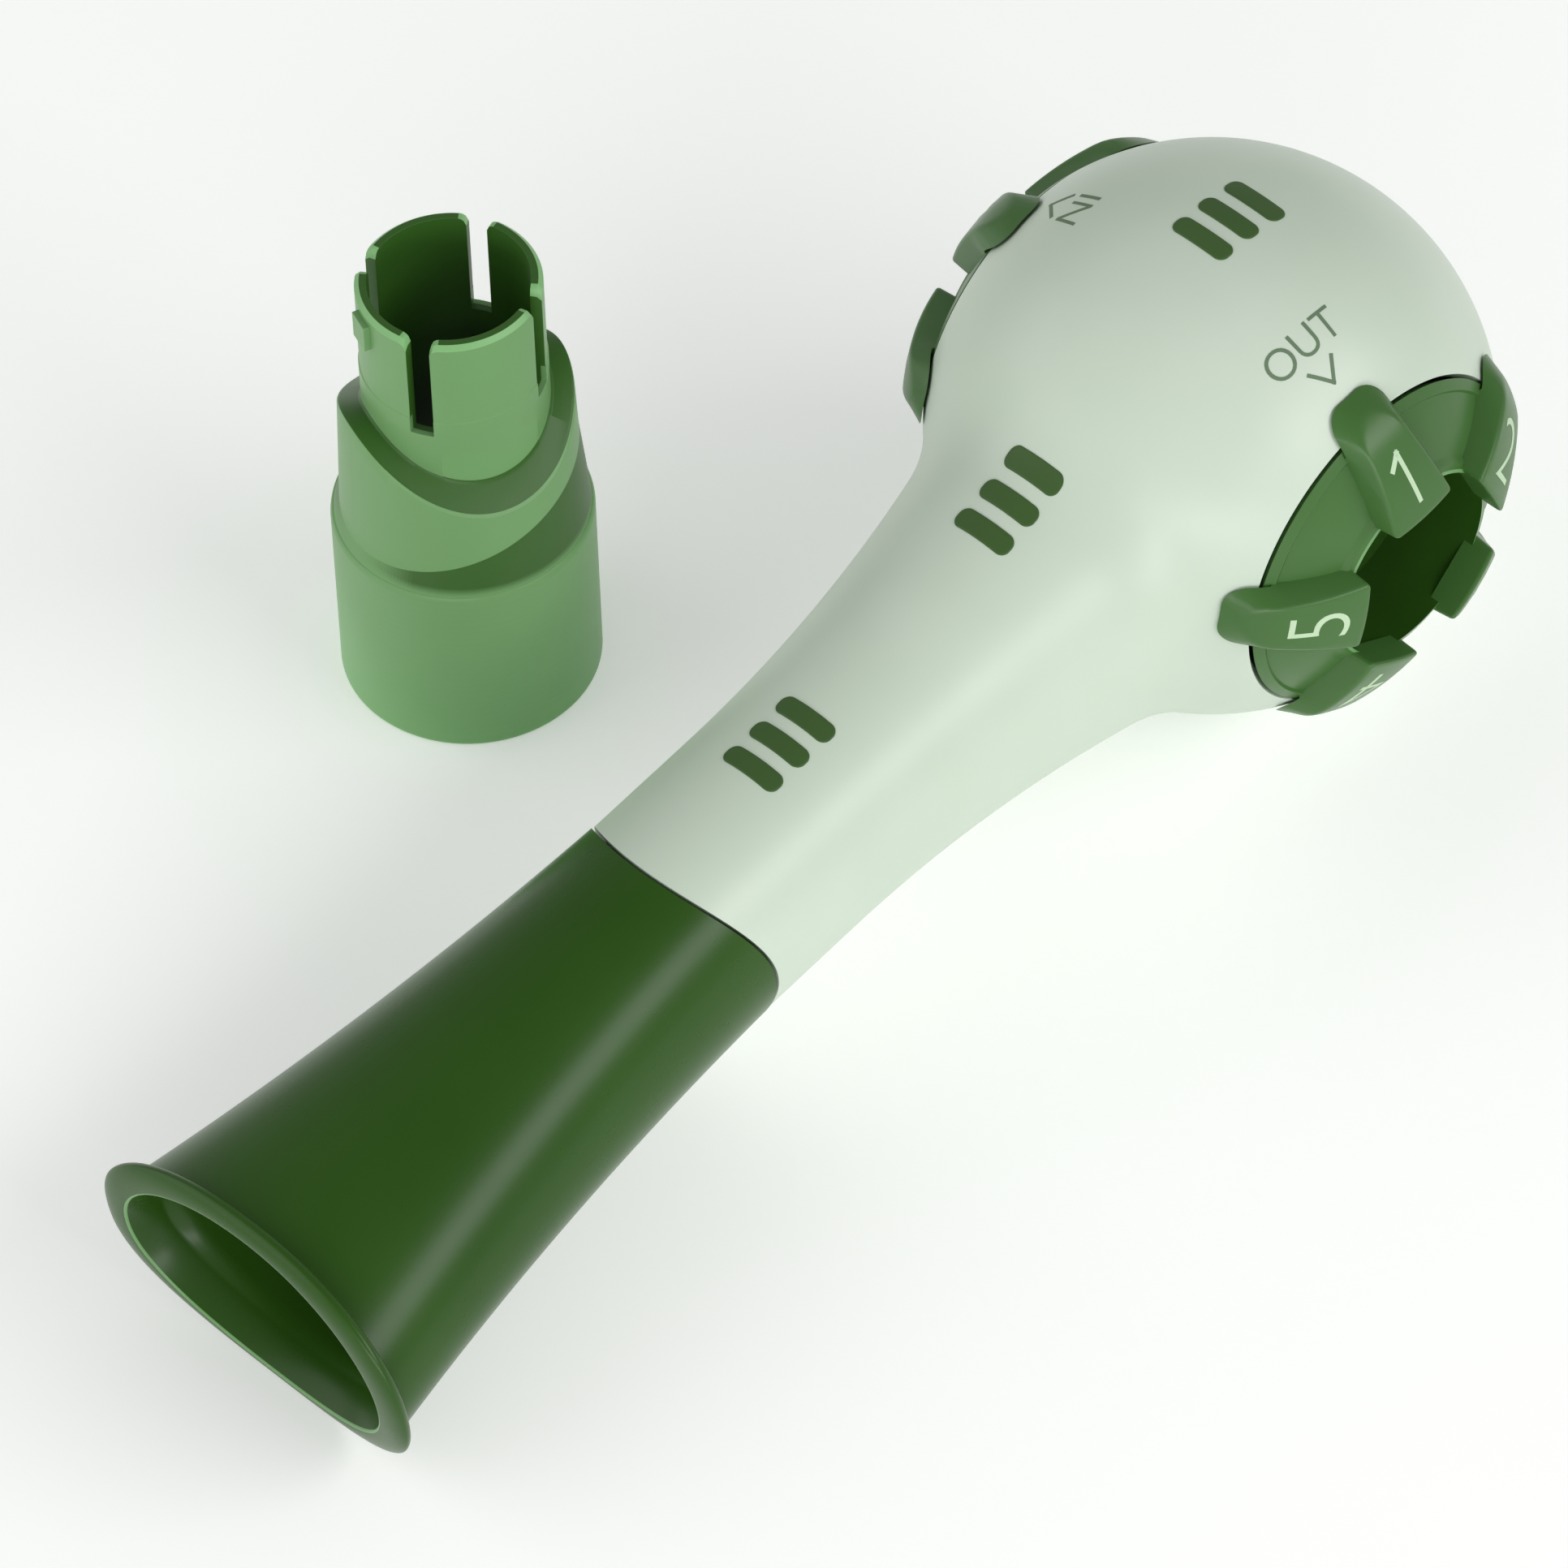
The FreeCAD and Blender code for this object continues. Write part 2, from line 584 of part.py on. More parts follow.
def block(name, width, length, height, y, z, turn=0.0):
    """A box centred on x = 0, from y and z upwards, turned about the Y axis."""
    item = doc.addObject("Part::Box", name)
    item.setExpression("Width", names(length))
    item.setExpression("Length", names(width))
    item.setExpression("Height", names(height))
    item.Placement.Rotation = FreeCAD.Rotation(FreeCAD.Vector(0, 1, 0), turn)
    shift = FreeCAD.Rotation(FreeCAD.Vector(0, 1, 0), turn)
    across = shift.multVec(FreeCAD.Vector(1, 0, 0))
    upward = shift.multVec(FreeCAD.Vector(0, 0, 1))
    for part, word in (("x", "x"), ("z", "z")):
        a, u = getattr(across, word), getattr(upward, word)
        item.setExpression(f"Placement.Base.{part}", names(
            f"{a:.9f} * (-({width}) / 2) + {u:.9f} * ({z})"))
    item.setExpression("Placement.Base.y", names(y))
    return item


def fuse_all(name, items):
    item = doc.addObject("Part::MultiFuse", name)
    item.Shapes = items
    return item


def rounded(label, base, radius, test):
    """Rounds the edges that pass the test by a named size."""
    doc.recompute()
    amount = value_of(radius)
    item = doc.addObject("Part::Fillet", label)
    item.Base = base
    item.Edges = [(number, amount, amount) for number in matching_edges(base.Shape, test)]
    return item


def rim_outline():
    """The mouth rim seen from the front: two tighter ends and two flatter sides."""
    sketch = free_sketch("rim_outline")
    side = "rim_side_radius"
    end_centre = f"(rim_half_width - {side})"
    flat = f"(({end_centre} ^ 2 + rim_half_height ^ 2 - {side} ^ 2) / (2 * (rim_half_height - {side})))"
    drop = value_of(f"{flat} - rim_half_height")
    away = FreeCAD.Vector(value_of(end_centre), drop, 0).normalize() * value_of(side)
    x, y = value_of(end_centre) + away.x, away.y
    outline(sketch, [
        Corner(near=(x, -y), smooth=True),
        Corner(near=(x, y), smooth=True),
        Corner(near=(-x, y), smooth=True),
        Corner(near=(-x, -y), smooth=True),
    ], {
        0: Bend(side, 1, (end_centre, "0")),
        1: Bend(flat, 1),
        2: Bend(side, 1, (f"-{end_centre}", "0")),
        3: Bend(flat, 1),
    })
    sketch.Placement = FreeCAD.Placement(
        FreeCAD.Vector(0, 0, 0), FreeCAD.Rotation(FreeCAD.Vector(1, 0, 0), QUARTER_TURN))
    sketch.setExpression("Placement.Base.y", names(f"-(mouth_length + {SPARE})"))
    return sketch


def mouthpiece():
    deep = "(rim_half_height * 4)"
    saddle_centre = f"-(mouth_length - mouth_saddle + {SADDLE_ARC})"
    beyond = f"(mouth_length + {SPARE})"

    def from_saddle(point):
        return math.hypot(point.x, point.y - value_of(saddle_centre)) - value_of(SADDLE_ARC)

    # The rim is a slice of a shallow saddle with every edge rounded
    rim = doc.addObject("Part::Extrusion", "rim_block")
    rim.Base = rim_outline()
    rim.DirMode = "Custom"
    rim.Dir = FreeCAD.Vector(0, 1, 0)
    rim.Solid = True
    rim.setExpression("LengthFwd", names(f"{SPARE} + mouth_saddle + rim_thickness + {SPARE}"))
    rim_back = rod("rim_back", f"{SADDLE_ARC} + rim_thickness", saddle_centre, deep)
    rim_front = rod("rim_front", SADDLE_ARC, saddle_centre, deep)
    slice_ = boolean("Cut", "rim_slice", boolean("Common", "rim_behind", rim, rim_back), rim_front)
    thickness = value_of("rim_thickness")
    flange = rounded("rim_flange", slice_, "lip_edge", lambda point: min(
        abs(from_saddle(point)), abs(from_saddle(point) - thickness)) < ON_FACE)

    def sections(name, wall, end, reach):
        neck = f"neck_radius - {wall}"
        return loft(name, [
            oval(f"{name}_neck", neck, neck, "neck_length - wave_height"),
            oval(f"{name}_waist", f"waist_half_width - {wall}", f"waist_half_height - {wall}",
                 "waist_station"),
            oval(f"{name}_end", f"{end}_half_width", f"{end}_half_height", reach),
        ])

    tube = boolean("Cut", "mouth_tube", sections("mouth_flare", "0", "mouth", beyond), rim_front)
    blank = boolean("Fuse", "mouth_blank", tube, flange)
    joint = rod("joint_face", f"{JOINT_ARC} + joint_gap", f"-{NECK_TIP} + {JOINT_ARC}", deep)
    trimmed = boolean("Cut", "mouth_trimmed", blank, joint)
    throat = f"({NECK_TIP} + mouth_wall)"
    spigot = rod("spigot_tube", "spigot_radius", f"-{throat}", f"{throat} - {SPIGOT_END}", axis="y")
    key = block("spigot_key", "key_width", "key_length", "key_height + spigot_wall",
                f"-{SPIGOT_END} - key_length - key_back", "spigot_radius - spigot_wall",
                QUARTER_TURN)
    solid = fuse_all("mouth_solid", [trimmed, spigot, key])

    # The bore: spigot, a short cone, then the flare inside the wall
    plug = rod("hollow_plug", "neck_radius", f"-({throat} + throat_length)",
               f"{throat} + throat_length - neck_length + wave_height + {SPARE}", axis="y")
    hollow = boolean("Cut", "mouth_hollow",
                     sections("hollow_flare", "mouth_wall", "bore", f"{beyond} + {SPARE}"), plug)
    cone = doc.addObject("Part::Cone", "mouth_throat")
    cone.setExpression("Radius1", names("neck_radius - mouth_wall"))
    cone.setExpression("Radius2", names("spigot_radius - spigot_wall"))
    cone.setExpression("Height", names("throat_length"))
    cone.Placement = FreeCAD.Placement(
        FreeCAD.Vector(0, 0, 0), FreeCAD.Rotation(FreeCAD.Vector(1, 0, 0), -QUARTER_TURN))
    cone.setExpression("Placement.Base.y", names(f"-({throat} + throat_length)"))
    spigot_bore = rod("spigot_bore", "spigot_radius - spigot_wall", f"-({throat} + {SPARE} / 2)",
                      f"{throat} + {SPARE} - {SPIGOT_END}", axis="y")
    bored = boolean("Cut", "mouth_bored", solid, fuse_all("mouth_bore", [hollow, cone, spigot_bore]))
    slots = fuse_all("mouth_slots", [
        block(f"mouth_slot_{turn}", "slot_width", f"slot_depth + {SPARE}", "spigot_radius * 2",
              f"-{SPIGOT_END} - slot_depth", "0", turn) for turn in SLOT_TURNS])
    slotted = boolean("Cut", "mouth_slotted", bored, slots)
    wide, tall = value_of("bore_half_width"), value_of("bore_half_height")
    return rounded("mouthpiece", slotted, "lip_edge", lambda point: (
        abs(from_saddle(point)) < ON_FACE and math.hypot(point.x / wide, point.z / tall) < 1))


# The dials

def dial(label, side, steps):
    """Domed cap with thumb tabs, and a cup whose floor has one graded hole for each tab."""
    body = new_body(label)
    edge_x = on_sphere("head_radius", "dial_edge_radius")
    rim_x = on_sphere("head_radius", "cup_radius")
    under = "(head_radius - cap_thickness)"
    shrink = f"({under} / head_radius)"
    section = sketch_in(body, "XY_Plane", f"{label}_section")
    outline(section, [
        Corner(f"{side} * {edge_x}", "dial_edge_radius"),
        Corner(f"{side} * {rim_x}", "cup_radius"),
        Corner(f"{side} * {CUP_FLOOR}", "cup_radius"),
        Corner(f"{side} * {CUP_FLOOR}", "pin_radius + fit_gap"),
        Corner(f"{side} * {FLOOR_STATION}", "pin_radius + fit_gap"),
        Corner(f"{side} * {FLOOR_STATION}", CUP_OUTSIDE),
        Corner(f"{side} * {on_sphere(under, CUP_OUTSIDE)}", CUP_OUTSIDE),
        Corner(f"{side} * {edge_x} * {shrink}", f"dial_edge_radius * {shrink}"),
    ], {
        0: Bend("head_radius", -side),
        6: Bend(under, side),
    })
    turned(body, "Revolution", section, "X_Axis")

    plan = sketch_in(body, "YZ_Plane", f"{label}_tab_plan", f"{side} * {FLOOR_STATION}")
    root, end = "tab_root_width / 2", "tab_end_width / 2"
    inner = "cup_radius - tab_lip"
    outline(plan, [
        Corner(f"-{root}", inner),
        Corner(root, inner),
        Corner(end, "tab_reach - tab_corner"),
        Corner(f"{end} - tab_corner", "tab_reach"),
        Corner(f"-({end} - tab_corner)", "tab_reach"),
        Corner(f"-({end})", "tab_reach - tab_corner"),
    ], {2: Bend("tab_corner", 1), 4: Bend("tab_corner", 1)})
    tab = body.newObject("PartDesign::Pad", f"{label}_tab")
    tab.Profile = plan
    tab.Reversed = side < 0
    tab.setExpression("Length", names(f"{TAB_SPHERE} + {SPARE} - {FLOOR_STATION}"))
    body.Tip = tab
    tabs = body.newObject("PartDesign::PolarPattern", f"{label}_tabs")
    tabs.Originals = [tab]
    tabs.Axis = (origin_feature(body, "X_Axis"), [""])
    tabs.Angle = FULL_TURN
    tabs.setExpression("Occurrences", names(steps))
    body.Tip = tabs

    # Everything above the tabs' own round goes, then what lies under the cap and over the shell
    reach = f"(tab_reach + {SPARE})"
    above = sketch_in(body, "XY_Plane", f"{label}_above")
    outline(above, [
        Corner(f"{side} * {TAB_SPHERE}", "0"),
        Corner(f"{side} * ({TAB_SPHERE} + {SPARE})", "0"),
        Corner(f"{side} * ({TAB_SPHERE} + {SPARE})", reach),
        Corner(f"{side} * {on_sphere(TAB_SPHERE, reach)}", reach),
    ], {3: Bend(TAB_SPHERE, -side)})
    turned(body, "Groove", above, "X_Axis")
    below = sketch_in(body, "XY_Plane", f"{label}_below")
    grow = f"({TAB_CLEAR_SPHERE} / head_radius)"
    outline(below, [
        Corner(f"{side} * {FLOOR_STATION}", CUP_OUTSIDE),
        Corner(f"{side} * {on_sphere(under, CUP_OUTSIDE)}", CUP_OUTSIDE),
        Corner(f"{side} * {edge_x} * {shrink}", f"dial_edge_radius * {shrink}"),
        Corner(f"{side} * {edge_x} * {grow}", f"dial_edge_radius * {grow}"),
        Corner(f"{side} * {on_sphere(TAB_CLEAR_SPHERE, reach)}", reach),
        Corner(f"{side} * {FLOOR_STATION}", reach),
    ], {1: Bend(under, -side), 3: Bend(TAB_CLEAR_SPHERE, side)})
    turned(body, "Groove", below, "X_Axis")
    cup = sketch_in(body, "XY_Plane", f"{label}_cup")
    lip = f"({rim_x} - tab_lip_depth)"
    outline(cup, [
        Corner(f"{side} * {CUP_FLOOR}", "cup_radius / 2"),
        Corner(f"{side} * {lip}", "cup_radius / 2"),
        Corner(f"{side} * {lip}", "cup_radius"),
        Corner(f"{side} * {CUP_FLOOR}", "cup_radius"),
    ])
    turned(body, "Groove", cup, "X_Axis")

    holes = sketch_in(body, "YZ_Plane", f"{label}_holes")
    ring_of_circles(holes, int(value_of(steps)), "orifice_circle",
                    lambda index: f"(orifice_widest - {index} * orifice_drop)")
    cut_through(body, holes)
    return body


# What lies behind each dial

def port_plate(label, side):
    """Fixed plate with one port, and a skirt that holds the valve seat."""
    body = new_body(label)
    section = sketch_in(body, "XY_Plane", f"{label}_section")
    top = "(plate_station + plate_thickness)"
    neck = f"({SEAT_BORE} - seat_step)"
    outline(section, [
        Corner(f"{side} * skirt_station", "skirt_radius"),
        Corner(f"{side} * plate_station", "skirt_radius"),
        Corner(f"{side} * plate_station", "plate_radius"),
        Corner(f"{side} * {top}", "plate_radius"),
        Corner(f"{side} * {top}", "pin_radius + fit_gap"),
        Corner(f"{side} * plate_station", "pin_radius + fit_gap"),
        Corner(f"{side} * plate_station", neck),
        Corner(f"{side} * {SEAT_TOP}", neck),
        Corner(f"{side} * {SEAT_TOP}", SEAT_BORE),
        Corner(f"{side} * skirt_station", SEAT_BORE),
    ])
    turned(body, "Revolution", section, "X_Axis")
    port = sketch_in(body, "YZ_Plane", f"{label}_port")
    ring_of_circles(port, 1, "orifice_circle", lambda index: "port_radius")
    cut_through(body, port)
    return body


def washer(label, side, low, high, outside, inside):
    """A flat round piece with a round hole, between two stations on the dial axis."""
    body = new_body(label)
    section = sketch_in(body, "XY_Plane", f"{label}_section")
    outline(section, [
        Corner(f"{side} * {low}", inside),
        Corner(f"{side} * {high}", inside),
        Corner(f"{side} * {high}", outside),
        Corner(f"{side} * {low}", outside),
    ])
    turned(body, "Revolution", section, "X_Axis")
    return body


def dial_gasket(label, side):
    body = washer(label, side, "(plate_station + plate_thickness)", FLOOR_STATION,
                  "gasket_radius", "pin_radius + move_gap")
    port = sketch_in(body, "YZ_Plane", f"{label}_port")
    ring_of_circles(port, 1, "orifice_circle", lambda index: "port_radius")
    cut_through(body, port)
    return body


def valve_seat(label, side):
    body = washer(label, side, SEAT_STATION, SEAT_TOP, f"({SEAT_BORE} - fit_gap)",
                  "stem_radius + fit_gap")
    windows = sketch_in(body, "YZ_Plane", f"{label}_windows")
    ring_of_circles(windows, int(value_of("window_count")), "window_circle",
                    lambda index: "window_radius")
    cut_through(body, windows)
    return body


def valve_flap(label, side, outward):
    """Silicone disc on a stem through the seat, with a bulb that lets it lift."""
    body = new_body(label)
    if outward:
        disc = (SEAT_TOP, f"({SEAT_TOP} + flap_thickness)")
        bulb = (f"({SEAT_STATION} - flap_lift - bulb_length - move_gap)",
                f"({SEAT_STATION} - flap_lift - move_gap)")
        order = (disc[1], disc[0], bulb[1], bulb[0])
    else:
        disc = (f"({SEAT_STATION} - flap_thickness)", SEAT_STATION)
        bulb = (f"({SEAT_TOP} + flap_lift + move_gap)",
                f"({SEAT_TOP} + flap_lift + bulb_length + move_gap)")
        order = (disc[0], disc[1], bulb[0], bulb[1])
    section = sketch_in(body, "XY_Plane", f"{label}_section")
    outline(section, [
        Corner(f"{side} * {order[0]}", "0"),
        Corner(f"{side} * {order[0]}", "flap_radius"),
        Corner(f"{side} * {order[1]}", "flap_radius"),
        Corner(f"{side} * {order[1]}", "stem_radius"),
        Corner(f"{side} * {order[2]}", "stem_radius"),
        Corner(f"{side} * {order[2]}", "bulb_radius"),
        Corner(f"{side} * {order[3]}", "bulb_radius"),
        Corner(f"{side} * {order[3]}", "0"),
    ])
    turned(body, "Revolution", section, "X_Axis")
    return body


def dial_pin(label, side):
    body = new_body(label)
    section = sketch_in(body, "XY_Plane", f"{label}_section")
    tail = "(plate_station - pin_tail_length)"
    head = f"({CUP_FLOOR} + pin_head_height)"
    outline(section, [
        Corner(f"{side} * {tail}", "0"),
        Corner(f"{side} * {tail}", "pin_radius"),
        Corner(f"{side} * plate_station", "pin_tail_radius"),
        Corner(f"{side} * plate_station", "pin_radius"),
        Corner(f"{side} * {CUP_FLOOR}", "pin_radius"),
        Corner(f"{side} * {CUP_FLOOR}", "pin_head_radius"),
        Corner(f"{side} * {head}", "pin_radius"),
        Corner(f"{side} * {head}", "0"),
    ])
    turned(body, "Revolution", section, "X_Axis")
    return body


def side_parts(word, side, steps):
    return [
        dial(f"{word}_dial", side, steps),
        dial_pin(f"{word}_dial_pin", side),
        dial_gasket(f"{word}_dial_gasket", side),
        port_plate(f"{word}_port_plate", side),
        valve_seat(f"{word}_valve_seat", side),
        valve_flap(f"{word}_valve_flap", side, outward=side > 0),
    ]


# The adapter, drawn upright on its own axis with the low points of its wave on +X and -X

def adapter():
    body = new_body("adapter_moulding")
    crest = "(stub_joint + stub_wave_height / 2)"
    outside = sketch_in(body, "XZ_Plane", "adapter_outside")
    outline(outside, [
        Corner("0", "0"),
        Corner("collar_radius - collar_edge", "0"),
        Corner("collar_radius", "collar_edge"),
        Corner("collar_radius", "collar_height"),
        Corner("stub_foot_radius", "collar_height"),
        Corner("stub_top_radius", crest),
        Corner("0", crest),
    ], {1: Bend("collar_edge", 1)})
    turned(body, "Revolution", outside, "Z_Axis")
    wave = sketch_in(body, "YZ_Plane", "adapter_wave")
    arc = "((stub_top_radius ^ 2 + stub_wave_height ^ 2) / (2 * stub_wave_height))"
    low = "(stub_joint - stub_wave_height / 2)"
    wide = f"((stub_top_radius + {arc}) / 2)"
    rise = f"({low} + {arc} - sqrt({arc} ^ 2 - {wide} ^ 2))"
    outline(wave, [
        Corner(f"-{wide}", rise),
        Corner(wide, rise),
        Corner(wide, f"{rise} + {SPARE}"),
        Corner(f"-{wide}", f"{rise} + {SPARE}"),
    ], {0: Bend(arc, 1)})
    cut_through(body, wave)
    spigot = sketch_in(body, "XZ_Plane", "adapter_spigot")
    outline(spigot, [
        Corner("0", "collar_height"),
        Corner("spigot_radius", "collar_height"),
        Corner("spigot_radius", "adapter_height - finger_bevel"),
        Corner("spigot_radius - finger_bevel", "adapter_height"),
        Corner("0", "adapter_height"),
    ])
    turned(body, "Revolution", spigot, "Z_Axis")

    # The sloping shoulder runs from the collar's round edge to a slanted oval on the middle part
    slope = math.atan2(value_of("ramp_rise"), 2 * value_of("stub_top_radius"))
    around = FreeCAD.Rotation(FreeCAD.Vector(0, 0, 1), value_of("ramp_turn") + HALF_TURN)
    edge = doc.addObject("Part::Ellipse", "shoulder_foot")
    edge.setExpression("MajorRadius", names("collar_radius"))
    edge.setExpression("MinorRadius", names("collar_radius"))
    edge.Placement.Rotation = around
    edge.setExpression("Placement.Base.z", names("collar_height"))
    slant = doc.addObject("Part::Ellipse", "shoulder_top")
    slant.setExpression("MajorRadius", names("sqrt(stub_top_radius ^ 2 + (ramp_rise / 2) ^ 2)"))
    slant.setExpression("MinorRadius", names("stub_top_radius"))
    tilt = FreeCAD.Rotation(FreeCAD.Vector(0, 1, 0), -math.degrees(slope))
    slant.Placement.Rotation = around.multiply(tilt)
    slant.setExpression("Placement.Base.z", names("collar_height + ramp_base + ramp_rise / 2"))
    shoulder = loft("adapter_shoulder", [edge, slant])
    shoulder.Ruled = True
    edge_height, edge_radius = value_of("collar_height"), value_of("collar_radius")
    outer = rounded("adapter_outer", boolean("Fuse", "adapter_blank", body, shoulder),
                    "collar_shoulder", lambda point: abs(point.z - edge_height) < ON_FACE
                    and abs(math.hypot(point.x, point.y) - edge_radius) < ON_FACE)

    bore_sketch = free_sketch("adapter_bore_section")
    bore = "(spigot_radius - spigot_wall)"
    outline(bore_sketch, [
        Corner("0", f"-{SPARE}"),
        Corner("socket_radius", f"-{SPARE}"),
        Corner("socket_radius", "socket_depth"),
        Corner(bore, "socket_depth + socket_cone"),
        Corner(bore, f"adapter_height + {SPARE}"),
        Corner("0", f"adapter_height + {SPARE}"),
    ])
    bore_sketch.Placement.Rotation = FreeCAD.Rotation(FreeCAD.Vector(1, 0, 0), QUARTER_TURN)
    core = doc.addObject("Part::Revolution", "adapter_bore")
    core.Source = bore_sketch
    core.Axis = FreeCAD.Vector(0, 0, 1)
    core.Angle = FULL_TURN
    core.Solid = True
    bored = boolean("Cut", "adapter_bored", outer, core)

    slots = []
    for turn in SLOT_TURNS:
        slot = doc.addObject("Part::Box", f"adapter_slot_{turn}")
        slot.setExpression("Length", names("spigot_radius * 2"))
        slot.setExpression("Width", names("slot_width"))
        slot.setExpression("Height", names(f"slot_depth + {SPARE}"))
        slot.Placement.Rotation = FreeCAD.Rotation(FreeCAD.Vector(0, 0, 1), turn)
        sine, cosine = math.sin(math.radians(turn)), math.cos(math.radians(turn))
        slot.setExpression("Placement.Base.x", names(f"{sine:.9f} * slot_width / 2"))
        slot.setExpression("Placement.Base.y", names(f"{-cosine:.9f} * slot_width / 2"))
        slot.setExpression("Placement.Base.z", names("adapter_height - slot_depth"))
        slots.append(slot)
    fingers = boolean("Cut", "adapter_fingers", bored, fuse_all("adapter_slots", slots))
    key = doc.addObject("Part::Box", "adapter_key")
    key.setExpression("Length", names("key_width"))
    key.setExpression("Width", names("key_height + spigot_wall / 2"))
    key.setExpression("Height", names("key_length"))
    key.setExpression("Placement.Base.x", names("-key_width / 2"))
    key.setExpression("Placement.Base.y", names("-(spigot_radius + key_height)"))
    key.setExpression("Placement.Base.z", names("adapter_height - key_length - key_back"))
    return boolean("Fuse", "adapter", fingers, key)


# Everything in place

trainer = shells_and_bars() + [neck_sleeve(), mouthpiece()]
exhale = side_parts("exhale", 1, "exhale_steps")
inhale = side_parts("inhale", -1, "inhale_steps")
stand = adapter()
pieces = trainer + exhale + inhale + [stand]
doc.recompute()

faults = [item.Label for item in doc.Objects if {"Invalid", "Error"} & set(item.State)]
faults += [piece.Label for piece in pieces if piece.Shape.isNull() or not piece.Shape.isValid()]
if faults:
    raise RuntimeError(f"not sound: {faults}")

# The trainer lies on its back: it rests on the head and on the lower edge of the mouth rim
long_arm = value_of("mouth_length - mouth_saddle - lip_edge")
short_arm = value_of("rim_half_height - lip_edge")
height = value_of("head_radius - lip_edge")
lean = math.asin(height / math.hypot(long_arm, short_arm)) - math.atan2(short_arm, long_arm)
lying = FreeCAD.Placement(
    FreeCAD.Vector(0, 0, value_of("head_radius")),
    FreeCAD.Rotation(FreeCAD.Vector(1, 0, 0), math.degrees(lean)))
index_turn = FreeCAD.Placement(
    FreeCAD.Vector(0, 0, 0), FreeCAD.Rotation(FreeCAD.Vector(1, 0, 0), -value_of("inhale_index")))
beside = FreeCAD.Placement(
    FreeCAD.Vector(value_of("adapter_offset_x"), value_of("adapter_offset_y"), 0),
    FreeCAD.Rotation(FreeCAD.Vector(0, 0, 1), value_of("adapter_turn")))
for piece in trainer + exhale:
    piece.Placement = lying
for piece in inhale:
    piece.Placement = lying.multiply(index_turn)
stand.Placement = beside
doc.recompute()

# The whole is centred over the origin and stands on the ground
boxes = [piece.Shape.optimalBoundingBox(False, False) for piece in pieces]
shift = FreeCAD.Placement(FreeCAD.Vector(
    -(min(box.XMin for box in boxes) + max(box.XMax for box in boxes)) / 2,
    -(min(box.YMin for box in boxes) + max(box.YMax for box in boxes)) / 2,
    -min(box.ZMin for box in boxes)), FreeCAD.Rotation())
for piece in pieces:
    piece.Placement = shift.multiply(piece.Placement)
doc.recompute()

for piece in pieces:
    shape = piece.Shape
    if shape.isNull() or not shape.isValid() or not shape.Solids:
        raise RuntimeError(f"{piece.Label} has no sound shape")
    shape.exportStep(f"parts/{piece.Label}.step")
    print(f"{piece.Label}: {len(shape.Solids)} solid(s), {shape.Volume:.0f} mm3")

centre = shift.multiply(lying).multVec(FreeCAD.Vector(0, 0, 0))
mouth_way = lying.Rotation.multVec(FreeCAD.Vector(0, -1, 0))
front_way = lying.Rotation.multVec(FreeCAD.Vector(0, 0, 1))
print("head centre", [round(number, 4) for number in centre])
print("mouth direction", [round(number, 6) for number in mouth_way])
print("front direction", [round(number, 6) for number in front_way])
print("adapter foot", [round(number, 4) for number in stand.Placement.Base])
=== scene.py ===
# %% [markdown]
# A breathing trainer lies on its back with its spare adapter standing beside it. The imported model
# gives every piece its place and its motion. This lesson dresses it: smooth mouldings, dials with
# numbered tabs, a flared mouthpiece, and plastics that look moulded and handled.

# %% The frame
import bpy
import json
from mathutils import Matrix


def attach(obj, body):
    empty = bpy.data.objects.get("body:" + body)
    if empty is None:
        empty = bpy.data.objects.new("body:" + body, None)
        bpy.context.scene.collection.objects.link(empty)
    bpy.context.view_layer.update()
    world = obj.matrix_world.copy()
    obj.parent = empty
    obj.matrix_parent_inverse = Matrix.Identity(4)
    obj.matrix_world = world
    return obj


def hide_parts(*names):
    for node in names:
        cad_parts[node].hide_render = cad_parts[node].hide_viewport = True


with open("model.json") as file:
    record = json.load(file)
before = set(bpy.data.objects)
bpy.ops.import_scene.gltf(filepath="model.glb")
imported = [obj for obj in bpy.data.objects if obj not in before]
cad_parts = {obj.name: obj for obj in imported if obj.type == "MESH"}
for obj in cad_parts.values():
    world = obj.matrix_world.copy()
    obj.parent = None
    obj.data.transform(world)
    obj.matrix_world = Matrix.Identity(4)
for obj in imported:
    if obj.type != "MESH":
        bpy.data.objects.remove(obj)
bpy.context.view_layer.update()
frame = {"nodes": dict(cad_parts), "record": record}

import json
import math

import bmesh
import bpy
from mathutils import Matrix, Vector

record = frame["record"]
joints = {joint["name"]: joint for joint in record["behaviour"]["joints"]}
mounts = {mount["name"]: mount for mount in record["mounts"]}
print("nodes:", len(frame["nodes"]), "joints:", len(joints))

# %% [markdown]
# Sizes are in millimetres, in the trainer's own axes: the head's centre is the origin, the mouth end
# points along -Y, the front face is +Z and the dial for breathing out is on +X. Two matrices carry
# finished meshes from those axes, and from the adapter's, into the scene's metres.

# %% Sizes and axes
MM = 0.001
HEAD = 26.3  # radius of the round head
NECK = 11.15  # radius of the neck at the joint
STRAIGHT = 59.0  # head centre to where the neck starts to widen
SWEEP = 150.0  # radius of the neck's long curve
SHOULDER = 14.0  # radius of the curve into the head
JOINT_TIP = 73.6  # head centre to the furthest point of the wavy joint
WAVE = 4.1  # height of that wave
WALL = 1.35  # wall of the shells where it can be seen
DIAL_EDGE = 16.75  # outer edge of a dial
DIAL_GAP = 0.3
CUP = 9.4  # hole in a dial
SOFT_EDGE = 0.12  # rounding of a moulding's edges

